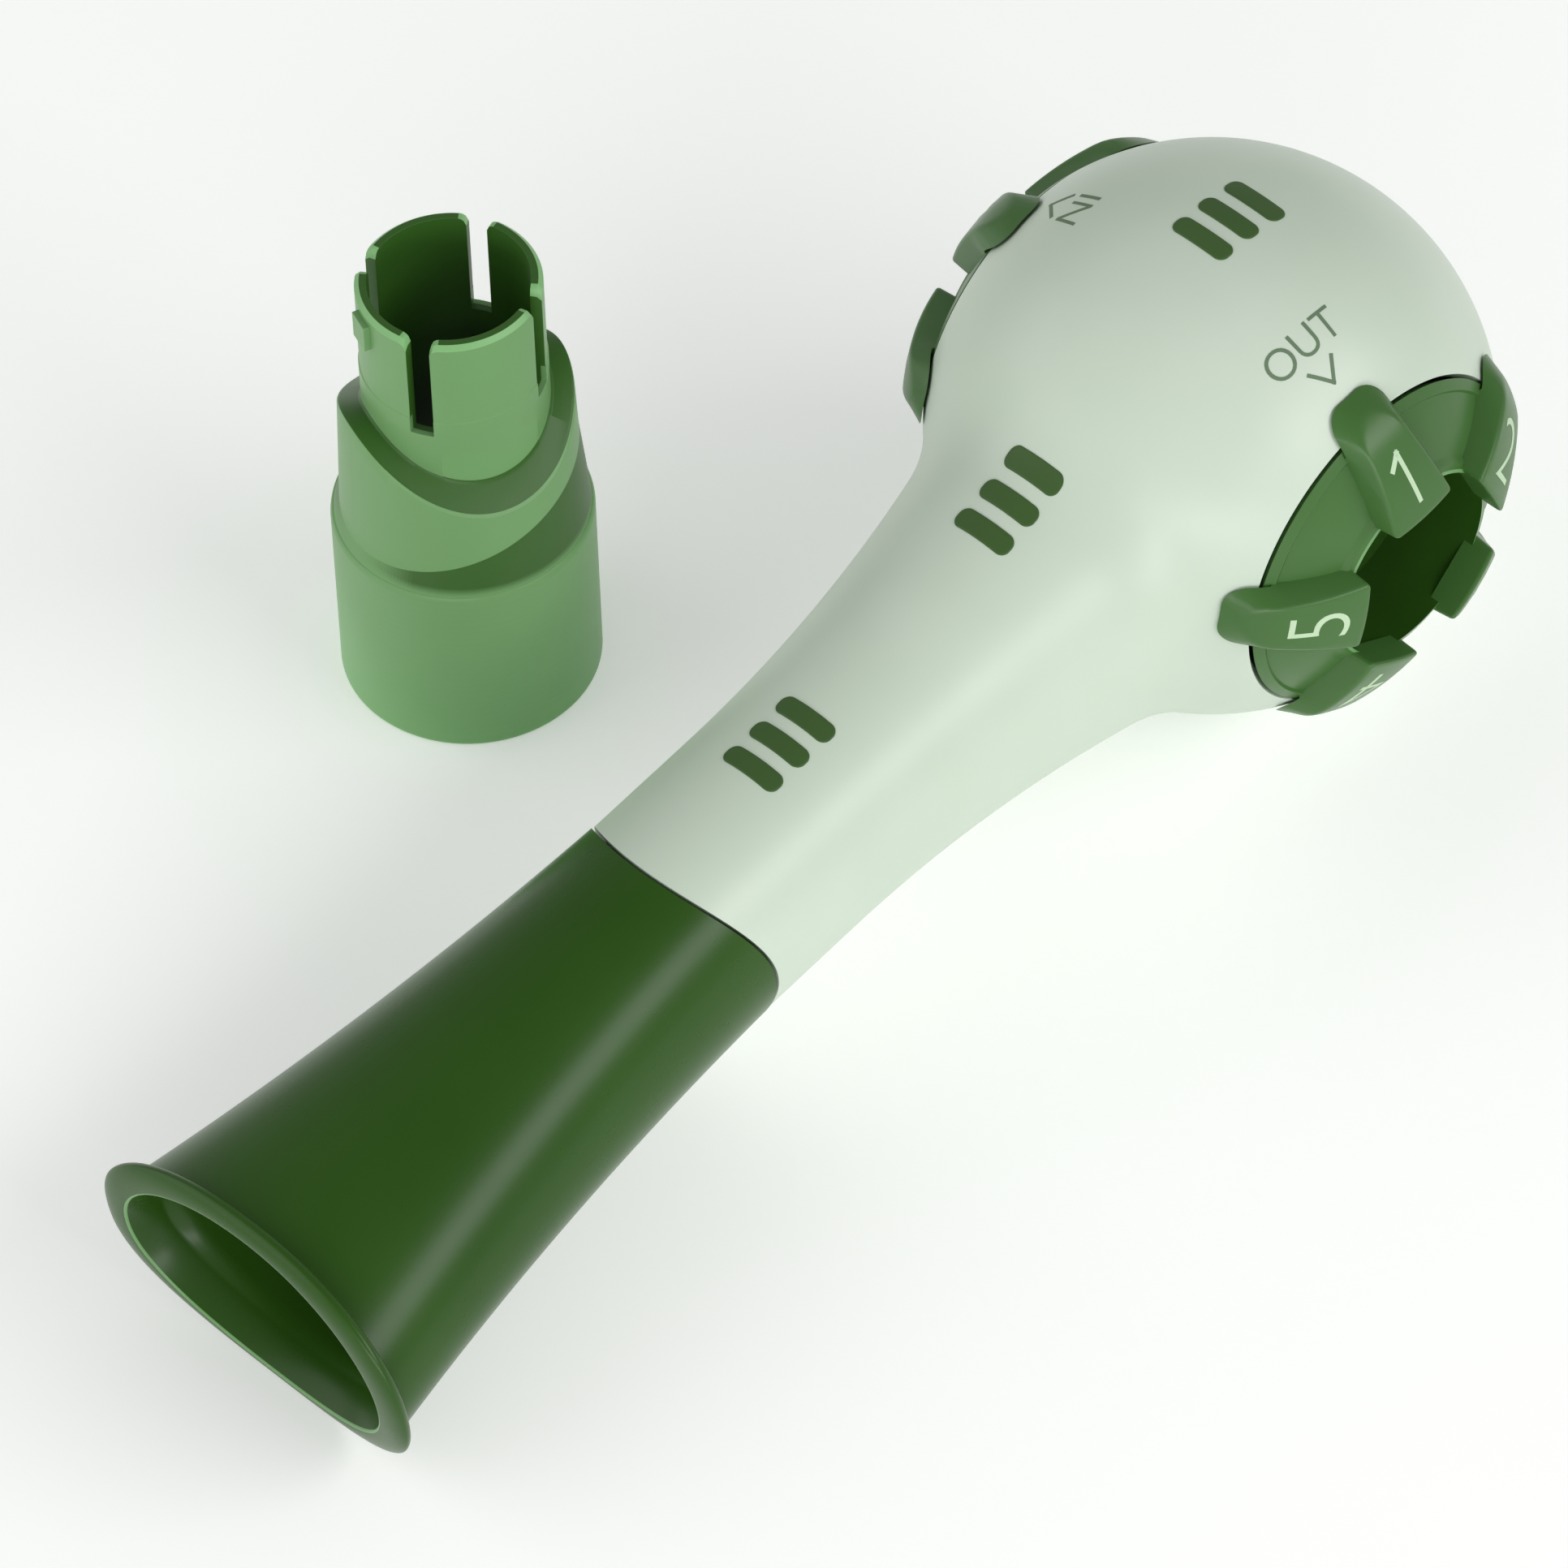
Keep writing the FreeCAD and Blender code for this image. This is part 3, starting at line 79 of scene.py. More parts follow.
head_at = Vector(joints["exhale_dial_turn"]["pos_m"])
mouth_way = Vector(joints["mouthpiece_pull"]["axis"])
lean = math.asin(-mouth_way.z)
TRAINER = Matrix.Translation(head_at) @ Matrix.Rotation(lean, 4, "X") @ Matrix.Scale(MM, 4)
ADAPTER_TURN = -20.0
foot = Vector((*mounts["adapter_socket"]["pos_m"][:2], 0.0))
ADAPTER = (Matrix.Translation(foot) @ Matrix.Rotation(math.radians(ADAPTER_TURN), 4, "Z")
           @ Matrix.Scale(MM, 4))
joint_arc = (NECK ** 2 + WAVE ** 2) / (2 * WAVE)
print("lean", round(math.degrees(lean), 2), "degrees; joint arc", round(joint_arc, 2), "mm")

# %% [markdown]
# Every moulding is drawn the way a toolmaker would: a line of points and arcs is turned about an
# axis, or one ring is pulled from station to station. Two small tools do that with mesh operators,
# and a third turns the finished mesh into an object that rides on its body.

# %% Drawing tools
SEGMENTS = 192  # steps round every pulled ring
covered = set()  # names of the nodes that new pieces stand in for


def verts_in(made):
    """The verts among what an operator made."""
    return [part for part in made if isinstance(part, bmesh.types.BMVert)]


def edges_at(verts):
    """The edges at some verts, each once and always in the same order."""
    return list(dict.fromkeys(edge for vert in verts for edge in vert.link_edges))


class Outline:
    """A chain of edges in the plane z = 0, drawn by moving its tip."""

    def __init__(self, bm, x, y):
        self.bm = bm
        self.tip = bm.verts.new((x, y, 0))

    def line(self, x, y, steps=1):
        step = (Vector((x, y, 0)) - self.tip.co) / steps
        for _ in range(steps):
            made = bmesh.ops.extrude_vert_indiv(self.bm, verts=[self.tip])
            self.tip = made["verts"][0]
            bmesh.ops.translate(self.bm, verts=[self.tip], vec=step)
        return self

    def arc(self, centre, degrees, steps):
        made = bmesh.ops.spin(self.bm, geom=[self.tip], cent=(*centre, 0), axis=(0, 0, 1),
                              angle=math.radians(degrees), steps=steps)
        self.tip = verts_in(made["geom_last"])[0]
        return self


def turn_about(bm, axis, degrees=360.0, steps=160):
    """Spins everything drawn so far about an axis through the origin."""
    whole = abs(degrees) == 360.0
    bmesh.ops.spin(bm, geom=bm.verts[:] + bm.edges[:], cent=(0, 0, 0), axis=axis,
                   angle=math.radians(degrees), steps=steps, use_merge=whole)
    bmesh.ops.remove_doubles(bm, verts=bm.verts[:], dist=0.001)


def pull_rings(bm, rings):
    """Pulls one loop of edges from ring to ring and back to the first.

    A ring turns an angle into a point.
    """
    turn = bm.verts.layers.float.new("turn")
    loop = bmesh.ops.create_circle(bm, segments=SEGMENTS, radius=1)["verts"]
    for vert in loop:
        vert[turn] = math.atan2(vert.co.y, vert.co.x)
        vert.co = rings[0](vert[turn])
    edges = edges_at(loop)
    for ring in rings[1:] + [rings[0]]:
        made = bmesh.ops.extrude_edge_only(bm, edges=edges)["geom"]
        edges = [part for part in made if isinstance(part, bmesh.types.BMEdge)
                 and len(part.link_faces) == 1]
        for vert in {vert for edge in edges for vert in edge.verts}:
            vert.co = ring(vert[turn])
    bmesh.ops.remove_doubles(bm, verts=bm.verts[:], dist=0.001)
    bmesh.ops.recalc_face_normals(bm, faces=bm.faces[:])


def finished(bm, name, body, place, bevel=0.0, wall=0.0, replaces=(), sharp=35.0,
             painted_shading=None):
    """Makes the object, with an optional wall and softened edges, and tells the frame about it.

    The last argument gives each face an amount the finish reads: painted shade above zero, painted
    highlight below.
    """
    # a face attribute carries painted shade above zero and a painted highlight below zero
    if painted_shading:
        layer = bm.faces.layers.float.new("painted_shading_amount")
        for face in bm.faces:
            face[layer] = float(painted_shading(face.calc_center_median(), face.normal))
    bm.transform(place)
    mesh = bpy.data.meshes.new(name)
    bm.to_mesh(mesh)
    bm.free()
    mesh.shade_smooth()
    mesh.set_sharp_from_angle(angle=math.radians(sharp))
    piece = bpy.data.objects.new(name, mesh)
    bpy.context.collection.objects.link(piece)
    if wall:
        shell = piece.modifiers.new("wall", "SOLIDIFY")
        shell.thickness = wall * MM
        shell.offset = -1
        shell.use_even_offset = True
    if bevel:
        soft = piece.modifiers.new("soft edges", "BEVEL")
        soft.width = bevel * MM
        soft.segments = 3
        soft.limit_method = "ANGLE"
        soft.angle_limit = math.radians(sharp)
        soft.harden_normals = True
    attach(piece, body)
    if replaces:
        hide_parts(*replaces)
        covered.update(replaces)
    print(name, len(mesh.polygons), "faces")
    return piece


# %% [markdown]
# The shell is two half mouldings that meet along a fine line down both sides. One curve is the
# outside of both: straight neck, long sweep, tight shoulder, round head. It could be sculpted, but
# the real form is nearly turned, so turning the curve half way round gives one half exactly. A flat
# cut across the round head leaves a perfectly round opening for each dial, and a modifier gives the
# wall, which shows its true thickness there.

# %% The curve of neck and head
def shoulder_ends(inset=0.0):
    """Where the shoulder curve meets the long sweep and the round head, and its centre."""
    centre = Vector((NECK + SWEEP, -STRAIGHT))
    near, far = HEAD + SHOULDER, SWEEP - SHOULDER
    along = (near ** 2 - far ** 2 + centre.length ** 2) / (2 * centre.length)
    aside = math.sqrt(near ** 2 - along ** 2)
    line = centre.normalized()
    middle = line * along + Vector((line.y, -line.x)) * aside
    on_sweep = centre + (middle - centre).normalized() * (SWEEP + inset)
    on_head = middle.normalized() * (HEAD - inset)
    return centre, on_sweep, middle, on_head


sweep_centre, on_sweep, shoulder_centre, on_head = shoulder_ends()


def body_radius(y):
    """Radius of the neck and head at a station along the trainer."""
    if y < -STRAIGHT:
        return NECK
    if y < on_sweep.y:
        return sweep_centre.x - math.sqrt(SWEEP ** 2 - (y - sweep_centre.y) ** 2)
    if y < on_head.y:
        return shoulder_centre.x - math.sqrt(SHOULDER ** 2 - (y - shoulder_centre.y) ** 2)
    return math.sqrt(max(HEAD ** 2 - y ** 2, 0.0))


def angle_between(centre, start, end):
    """Signed turn in degrees from start to end about a centre."""
    first, last = start - centre, end - centre
    return math.degrees(math.atan2(first.x * last.y - first.y * last.x, first.dot(last)))


def joint_end(x, arc=joint_arc, beyond=0.0):
    """Station of the wavy joint at a distance x from the middle line."""
    return -(JOINT_TIP - joint_arc + math.sqrt((arc + beyond) ** 2 - x ** 2))


print("shoulder from", [round(v, 2) for v in on_sweep], "to", [round(v, 2) for v in on_head])

# %% The two half shells
def half_shell(name, turn):
    """One half of the shell, turned by a half turn to one side or the other."""
    bm = bmesh.new()
    neck_start = Vector((NECK, -STRAIGHT))
    outline = Outline(bm, NECK, -JOINT_TIP)
    outline.line(NECK, -STRAIGHT, 12)
    outline.arc(sweep_centre, angle_between(sweep_centre, neck_start, on_sweep), 36)
    outline.arc(shoulder_centre, angle_between(shoulder_centre, on_sweep, on_head), 16)
    outline.arc((0, 0), angle_between(Vector((0, 0)), on_head, Vector((0, HEAD))), 84)
    turn_about(bm, (0, 1, 0), turn, steps=96)
    # the straight neck is stretched so that its end follows the wavy joint
    for vert in bm.verts:
        if vert.co.y < -STRAIGHT - 0.01:
            share = (-STRAIGHT - vert.co.y) / (JOINT_TIP - STRAIGHT)
            vert.co.y = -STRAIGHT + share * (joint_end(vert.co.x) + STRAIGHT)
    opening = math.sqrt(HEAD ** 2 - (DIAL_EDGE + DIAL_GAP) ** 2)
    for side in (1, -1):
        bmesh.ops.bisect_plane(bm, geom=bm.verts[:] + bm.edges[:] + bm.faces[:], dist=0.0005,
                               plane_co=(side * opening, 0, 0), plane_no=(side, 0, 0),
                               clear_outer=True)
    bmesh.ops.recalc_face_normals(bm, faces=bm.faces[:])
    # an open shell may come out turned inwards, so its crown has to look away from the neck
    crown = max(bm.faces, key=lambda face: face.calc_center_median().y)
    if crown.normal.y < 0:
        bmesh.ops.reverse_faces(bm, faces=bm.faces[:])
    return finished(bm, f"{name}_moulding", "trainer", TRAINER, bevel=SOFT_EDGE,
                    wall=WALL, replaces=(name,))


front_shell = half_shell("front_shell", -180)
rear_shell = half_shell("rear_shell", 180)

# %% [markdown]
# Nine green grip bars are let into the front in three groups. Each starts as a block with rounded
# corners. Cuts across it let it bend, and then it is laid on the shell's own curve. A bar cut from
# a copy of the shell would follow it too, but with ragged ends.

# %% Grip bars
BAR_LENGTH = 6.4
BAR_WIDTH = 2.1
BAR_PITCH = 3.4
BAR_DEPTH = 0.5
BAR_PROUD = 0.11
BAR_ROUND = 0.42  # rounding of its corners, as a share of its width
BAR_EDGE = 0.1


def cut_across(bm, axis, stations):
    """Splits every face where planes across an axis pass, without removing anything."""
    normal = Vector((0, 0, 0))
    normal[axis] = 1
    for station in stations:
        bmesh.ops.bisect_plane(bm, geom=bm.verts[:] + bm.edges[:] + bm.faces[:], dist=0.0005,
                               plane_co=normal * station, plane_no=normal)


def spread(low, high, count):
    """Evenly spaced stations between two ends, the ends left out."""
    return [low + (high - low) * step / count for step in range(1, count)]


def block(bm, length, width, height):
    """A block on the plane z = 0, and its verts."""
    verts = bmesh.ops.create_cube(bm, size=1)["verts"]
    bmesh.ops.scale(bm, verts=verts, vec=(length, width, height))
    bmesh.ops.translate(bm, verts=verts, vec=(0, 0, height / 2))
    return verts


def rounded(bm, edges, radius, steps):
    """Rounds edges to a radius."""
    bmesh.ops.bevel(bm, geom=edges, offset=radius, segments=steps, profile=0.5, affect="EDGES",
                    material=-1)


def upright(edge):
    """True for an edge that climbs along Z."""
    side = edge.verts[0].co - edge.verts[1].co
    return abs(side.z) > 0.8 * side.length


def joined(target, part, turn=0.0):
    """Adds one mesh to another, turned about the X axis."""
    bmesh.ops.rotate(part, verts=part.verts[:], cent=(0, 0, 0),
                     matrix=Matrix.Rotation(turn, 3, "X"))
    mesh = bpy.data.meshes.new("part")
    part.to_mesh(mesh)
    part.free()
    target.from_mesh(mesh)
    bpy.data.meshes.remove(mesh)


# %% The three groups of bars
def grip_bars(word, station):
    """Three bars round a station along the trainer."""
    bm = bmesh.new()
    for step in (-1, 0, 1):
        bar = bmesh.new()
        block(bar, BAR_LENGTH, BAR_WIDTH, BAR_DEPTH + BAR_PROUD)
        corners = [edge for edge in bar.edges if upright(edge)]
        rounded(bar, corners, BAR_WIDTH * BAR_ROUND, 8)
        rim = [edge for edge in bar.edges if min(vert.co.z for vert in edge.verts) > BAR_DEPTH]
        rounded(bar, rim, BAR_EDGE, 3)
        cut_across(bar, 0, spread(-BAR_LENGTH / 2, BAR_LENGTH / 2, 16))
        cut_across(bar, 1, spread(-BAR_WIDTH / 2, BAR_WIDTH / 2, 6))
        bmesh.ops.translate(bar, verts=bar.verts[:], vec=(0, station + step * BAR_PITCH, 0))
        for vert in bar.verts:
            surface = math.sqrt(body_radius(vert.co.y) ** 2 - vert.co.x ** 2)
            vert.co.z += surface - BAR_DEPTH
        joined(bm, bar)
    return finished(bm, f"bars_{word}", "trainer", TRAINER,
                    replaces=(f"grip_bars_{word}",))


bars = [grip_bars(word, station)
        for word, station in (("lower", -56.0), ("middle", -25.4), ("upper", 5.0))]

# %% [markdown]
# A dial is a domed cap that carries on the head's round, a cup in its middle, a floor with holes
# of falling size, and thumb tabs that reach out over the shell. The cap and cup are turned. The
# floor is filled between circles, and each tab is a block that is rounded and then lifted onto the
# dome. The tabs only sink into the cap, because a union of the two would leave thin, ragged faces
# along the edge where they meet.

# %% Dial sizes
TAB_HEIGHT = 2.1
TAB_START = 8.9
TAB_REACH = 19.4
TAB_ROOT = 8.1
TAB_END = 6.3
TAB_NOSE = 1.8
TAB_DRAFT = 0.3, 1.1  # how far a tab's sides lean in over its height, at its root and its end
TAB_SLOPE = 0.6  # how far its outer end leans in
TAB_CORNER = 0.5  # rounding of its two inner corners
TAB_EDGE = 0.3  # rounding round its top
NOSE_FROM = 16.4  # where its outer end starts to slope away, from the dial's axis
NOSE_DROP = 1.15
TAB_SUNK = 0.6  # how deep it sits in the cap, and how far it clears the shell
TAB_CLEAR = 0.3
TAB_HANG = 1.0  # how far its inner end hangs into the cup
CAP = 1.8
CUP_WALL = 1.2
FLOOR_LOW = 14.9
FLOOR_HIGH = 16.4
HOLE_CIRCLE = 6.0
FIRST_HOLE = 2.4
HOLE_STEP = 0.35
PIN_HOLE = 1.5
DISH = 0.28  # how far the ring between the tabs is sunk
BORDER = 15.9  # inner edge of the raised border, and the ring's two edges
RING_OUTSIDE = 15.6
RING_INSIDE = 10.6
RIM = 10.3  # outer edge of the cup's rim
CUP_SHADE_TOP = 23.4  # painted shade darkens the cup up to this height
INHALE_INDEX = -10.0  # degrees from the front, towards the mouth
print("holes from", FIRST_HOLE, "mm down in steps of", HOLE_STEP, "mm")


# %% The cap, the cup and its floor
def dome(radius, away):
    """Height of a sphere over the dial's plane at a distance from its axis."""
    return math.sqrt(max(radius ** 2 - away ** 2, 0.0))


def on_dome(radius, away):
    """A point of that sphere, as height and distance."""
    return Vector((dome(radius, away), away))


def cap_and_cup(bm):
    """The section of cap and cup, drawn from the cap's low edge and turned about the axis."""
    under = HEAD - CAP
    low_edge = on_dome(HEAD, DIAL_EDGE) * (under / HEAD)
    outline = Outline(bm, *low_edge)

    def swept(first, last, steps):
        """An arc about the head's centre."""
        outline.line(*first)
        outline.arc((0, 0), angle_between(Vector((0, 0)), first, last), steps)

    swept(on_dome(HEAD, DIAL_EDGE), on_dome(HEAD, BORDER), 3)
    swept(on_dome(HEAD - DISH, RING_OUTSIDE), on_dome(HEAD - DISH, RING_INSIDE), 18)
    swept(on_dome(HEAD, RIM), on_dome(HEAD, CUP), 3)
    outline.line(FLOOR_LOW, CUP, 4)
    outline.line(FLOOR_LOW, CUP + CUP_WALL)
    swept(on_dome(under, CUP + CUP_WALL), low_edge, 8)
    turn_about(bm, (1, 0, 0), steps=180)


def dial_floor(bm, steps):
    """A disc between circles, drawn in the plane and then given its thickness."""
    def circle(radius, across=0.0, up=0.0, segments=48):
        made = bmesh.ops.create_circle(bm, segments=segments, radius=radius,
                                       matrix=Matrix.Translation((across, up, 0)))
        return edges_at(made["verts"])

    edges = circle(CUP + CUP_WALL / 2, segments=96) + circle(PIN_HOLE)
    for index in range(steps):
        angle = math.tau * index / steps
        edges += circle(FIRST_HOLE - index * HOLE_STEP, HOLE_CIRCLE * math.sin(angle),
                        HOLE_CIRCLE * math.cos(angle))
    flat = bmesh.ops.triangle_fill(bm, edges=edges, use_beauty=True, use_dissolve=False)["geom"]
    faces = [part for part in flat if isinstance(part, bmesh.types.BMFace)]
    raised = bmesh.ops.extrude_face_region(bm, geom=faces)["geom"]
    bmesh.ops.translate(bm, verts=verts_in(raised), vec=(0, 0, FLOOR_HIGH - FLOOR_LOW))
    # the disc's plane becomes the dial's: across is Y, up is Z and thickness is X
    swap = Matrix(((0, 0, 1, FLOOR_LOW), (1, 0, 0, 0), (0, 1, 0, 0), (0, 0, 0, 1)))
    bmesh.ops.transform(bm, verts=bm.verts[:], matrix=swap)


# %% A thumb tab
def thumb_tab(bm):
    """One tab along +Z, drawn flat and then lifted onto the dome."""
    length = TAB_REACH - TAB_START
    for vert in block(bm, 1, length, TAB_HEIGHT):
        inner = vert.co.y < 0
        raised = 1.0 if vert.co.z > 0 else 0.0
        wide, draft = (TAB_ROOT, TAB_DRAFT[0]) if inner else (TAB_END, TAB_DRAFT[1])
        vert.co.x *= wide - 2 * draft * raised
        vert.co.y -= 0.0 if inner else TAB_SLOPE * raised
    noses = [edge for edge in bm.edges if upright(edge) and edge.verts[0].co.y > 0]
    rounded(bm, noses, TAB_NOSE, 8)
    roots = [edge for edge in bm.edges if upright(edge) and edge.verts[0].co.y < -length / 2 + 0.1]
    rounded(bm, roots, TAB_CORNER, 4)
    top = [edge for edge in bm.edges if min(vert.co.z for vert in edge.verts) > TAB_HEIGHT - 0.01]
    rounded(bm, top, TAB_EDGE, 3)
    cut_across(bm, 0, spread(-TAB_ROOT / 2, TAB_ROOT / 2, 10))
    cut_across(bm, 1, spread(-length / 2, length / 2, 16))
    for vert in bm.verts:
        out = vert.co.y + length / 2 + TAB_START
        away = math.hypot(vert.co.x, out)
        share = vert.co.z / TAB_HEIGHT
        # the outer end slopes away, the inner end hangs a little into the cup
        nose = max(0.0, (away - NOSE_FROM) / (TAB_REACH - NOSE_FROM))
        high = dome(HEAD + TAB_HEIGHT - NOSE_DROP * nose ** 2, away)
        over_shell = min(max(away - DIAL_EDGE + 1.2, 0.0), 1.0)
        low = dome(HEAD - TAB_SUNK + over_shell * (TAB_SUNK + TAB_CLEAR), away)
        if away < CUP + 0.3:
            low = dome(HEAD, CUP) - TAB_HANG
        vert.co = (low + (high - low) * share, vert.co.x, out)


# %% The two dials
def dial_place(side):
    """From a dial drawn on +X into the scene. The other side is a mirror image."""
    if side > 0:
        return TRAINER
    index = Matrix.Rotation(-math.radians(INHALE_INDEX), 4, "X")
    return TRAINER @ index @ Matrix.Scale(-1, 4, (1, 0, 0))


def dial_polish(spot, _):
    """Painted shade darkens the cup, and a painted highlight runs round its rim."""
    away = spot.yz.length
    if away < CUP + 0.05 and spot.x < CUP_SHADE_TOP:
        return 1.0
    return -0.5 if CUP < away < CUP + 0.32 and abs(spot.length - HEAD) < 0.1 else 0.0


def dial(word, side, steps):
    """A dial with as many tabs and holes as it has steps."""
    bm = bmesh.new()
    cap_and_cup(bm)
    floor = bmesh.new()
    dial_floor(floor, steps)
    joined(bm, floor)
    for index in range(steps):
        tab = bmesh.new()
        thumb_tab(tab)
        joined(bm, tab, -math.tau * index / steps)
    bmesh.ops.recalc_face_normals(bm, faces=bm.faces[:])
    if side < 0:
        bmesh.ops.reverse_faces(bm, faces=bm.faces[:])
    return finished(bm, f"{word}_dial_moulding", f"{word}_dial", dial_place(side),
                    bevel=0.15, replaces=(f"{word}_dial",), sharp=40,
                    painted_shading=dial_polish)


exhale_dial = dial("exhale", 1, 5)
inhale_dial = dial("inhale", -1, 6)

# %% [markdown]
# Plain numbers stand on the tabs, and each side of the head has one word and an arrowhead that
# points at the tab in use. Flat letters are cut into small pieces, so that they can follow the
# round surface below them.

# %% Letters that follow a surface
INK = 0.03  # how far print stands off its surface
CUT = 0.6  # size of the pieces that letters are cut into
NUMBER = 5.2  # height of a number
NUMBER_AT = 13.3  # from the dial's axis to the middle of a number
STROKE = 0.46  # width of the strokes of a number drawn from given points, and of an arrowhead
ARROW_STROKE = 0.36


def flat_text(words, height, thin=0.0):
    """A mesh of flat letters, centred, with capitals of a height in millimetres."""
    curve = bpy.data.curves.new("letters", "FONT")
    curve.body = words
    curve.align_x = "CENTER"
    curve.align_y = "CENTER"
    curve.offset = -thin
    curve.resolution_u = 6
    holder = bpy.data.objects.new("letters", curve)
    bpy.context.collection.objects.link(holder)
    mesh = bpy.data.meshes.new_from_object(holder)
    bpy.data.objects.remove(holder)
    bm = bmesh.new()
    bm.from_mesh(mesh)
    low = min(vert.co.y for vert in bm.verts)
    high = max(vert.co.y for vert in bm.verts)
    grow = height / (high - low)
    bmesh.ops.translate(bm, verts=bm.verts[:], vec=(0, -(low + high) / 2, 0))
    bmesh.ops.scale(bm, verts=bm.verts[:], vec=(grow, grow, 1))
    return bm


def strokes(width, *spots):
    """A mesh of straight strokes from spot to spot, each a little longer than its run."""
    bm = bmesh.new()
    for first, last in zip(spots, spots[1:]):
        run = Vector((*last, 0)) - Vector((*first, 0))
        middle = Vector((*first, 0)) + run / 2
        turn = Matrix.Rotation(math.atan2(run.y, run.x), 4, "Z")
        size = Matrix.Diagonal((run.length + width, width, 1, 1))
        bmesh.ops.create_grid(bm, x_segments=1, y_segments=1, size=0.5,
                              matrix=Matrix.Translation(middle) @ turn @ size)
    return bm


def number(value):
    """A figure of the height NUMBER. The plain bar with a flag is drawn from given points."""
    if value == 1:
        top = NUMBER / 2 - STROKE / 2
        return strokes(STROKE, (-1.15, NUMBER / 2 - 1.2), (0.05, top), (0.05, -top))
    return flat_text(str(value), NUMBER, 0.014)


def arrowhead():
    """A plain open arrowhead that points along -Y."""
    return strokes(ARROW_STROKE, (-1.4, 2.0), (0, 0), (1.4, 2.0))


def chopped(bm):
    """Cuts flat letters into a grid, and gives them a little depth."""
    for axis in (0, 1):
        low = min(vert.co[axis] for vert in bm.verts)
        high = max(vert.co[axis] for vert in bm.verts)
        cut_across(bm, axis, spread(low, high, max(2, round((high - low) / CUT))))
    bmesh.ops.remove_doubles(bm, verts=bm.verts[:], dist=0.0005)
    raised = bmesh.ops.extrude_face_region(bm, geom=bm.faces[:])["geom"]
    bmesh.ops.translate(bm, verts=verts_in(raised), vec=(0, 0, 1))
    bmesh.ops.recalc_face_normals(bm, faces=bm.faces[:])


# %% Numbers on the tabs
def numbers(word, side, steps):
    """One number on each tab, its top towards the tab's outer end."""
    bm = bmesh.new()
    for index in range(steps):
        digit = number(index + 1)
        if side < 0:
            bmesh.ops.scale(digit, verts=digit.verts[:], vec=(-1, 1, 1))
        chopped(digit)
        for vert in digit.verts:
            across, out = vert.co.x, vert.co.y + NUMBER_AT
            away = math.hypot(across, out)
            height = dome(HEAD + TAB_HEIGHT, away) + INK * (2 * vert.co.z - 1)
            vert.co = (height, across, out)
        joined(bm, digit, -math.tau * index / steps)
    bmesh.ops.recalc_face_normals(bm, faces=bm.faces[:])
    if side < 0:
        bmesh.ops.reverse_faces(bm, faces=bm.faces[:])
    return finished(bm, f"{word}_numbers", f"{word}_dial", dial_place(side))


exhale_numbers = numbers("exhale", 1, 5)
inhale_numbers = numbers("inhale", -1, 6)

# %% Words on the head
WORD = 2.9  # height of the letters
WORD_DOWN = 29.6  # degrees from the front down to a word and to its arrowhead
ARROW_DOWN = 39.4


def on_head_print(name, word, side, lean_to):
    """Lays a word and an arrowhead on the head, with their feet towards the dial."""
    bm = bmesh.new()
    for flat, down in ((flat_text(word, WORD, 0.006), WORD_DOWN), (arrowhead(), ARROW_DOWN)):
        chopped(flat)
        for vert in flat.verts:
            tall = math.radians(down) - vert.co.y / HEAD
            along = side * vert.co.x / (HEAD * math.cos(math.radians(down)))
            along += math.radians(lean_to)
            radius = HEAD + INK * (2 * vert.co.z - 1)
            vert.co = (side * radius * math.sin(tall),
                       radius * math.cos(tall) * math.sin(along),
                       radius * math.cos(tall) * math.cos(along))
        joined(bm, flat)
    bmesh.ops.recalc_face_normals(bm, faces=bm.faces[:])
    return finished(bm, name, "trainer", TRAINER)


exhale_print = on_head_print("exhale_print", "OUT", 1, 0.0)
inhale_print = on_head_print("inhale_print", "IN", -1, -3.0)

# %% [markdown]
# The mouthpiece is one ring pulled along the trainer. It starts round at the wavy joint, widens
# into a flat oval, rolls over a lip and comes back inside, so that one skin is the outside, the lip
# and the bore, and no seam shows where they meet. The lip is a shallow saddle: its middle lies a
# little behind its two ends, to fit closed lips.

# %% Mouthpiece sizes
MOUTH = 125.4  # head centre to the tips of the lip
SADDLE = 1.5
RIM_WIDE = 18.5
RIM_TALL = 12.2
RIM_THICK = 1.7
LIP = 0.7
CREST = 0.25  # rounding of the lip's crest
FUNNEL = 0.95  # how far the crest stands off the bore
FUNNEL_DEPTH = 4.0
SPIGOT = 8.5
SPIGOT_BORE = 7.4
SPIGOT_END = 52.55
SLOT_DEPTH = 11.8
THROAT = 75.3, 83.3  # stations between which the bore opens from round to oval
# station, half width and half height of the outside and of the bore
OUTSIDE = ((67.45, 11.15, 11.15), (92.0, 12.8, 10.9), (127.4, 18.3, 10.8))
BORE = ((67.45, 9.45, 9.45), (92.0, 11.1, 9.2), (129.4, 15.0, 9.5))
RIM_POWER = 2.37  # how full the corners of the rim's and the crest's ovals are
CREST_POWER = 2.12
saddle_arc = (RIM_WIDE ** 2 + SADDLE ** 2) / (2 * SADDLE)
print("saddle arc", round(saddle_arc, 1), "mm")


# %% Rings of the mouthpiece
def section(station, sections=OUTSIDE):
    """Half width and half height at a station, on smooth curves through three sections."""
    a, b, c = (Vector(part) for part in sections)
    slope = (b - a) / (b[0] - a[0])
    bend = ((c - b) / (c[0] - b[0]) - slope) / (c[0] - a[0])
    size = a + slope * (station - a[0]) + bend * (station - a[0]) * (station - b[0])
    return size[1], size[2]


def on_saddle(x, behind=0.0):
    """Station of the lip's saddle at a distance x from the middle, and behind it."""
    return -(MOUTH - SADDLE) - saddle_arc + math.sqrt((saddle_arc + behind) ** 2 - x ** 2)


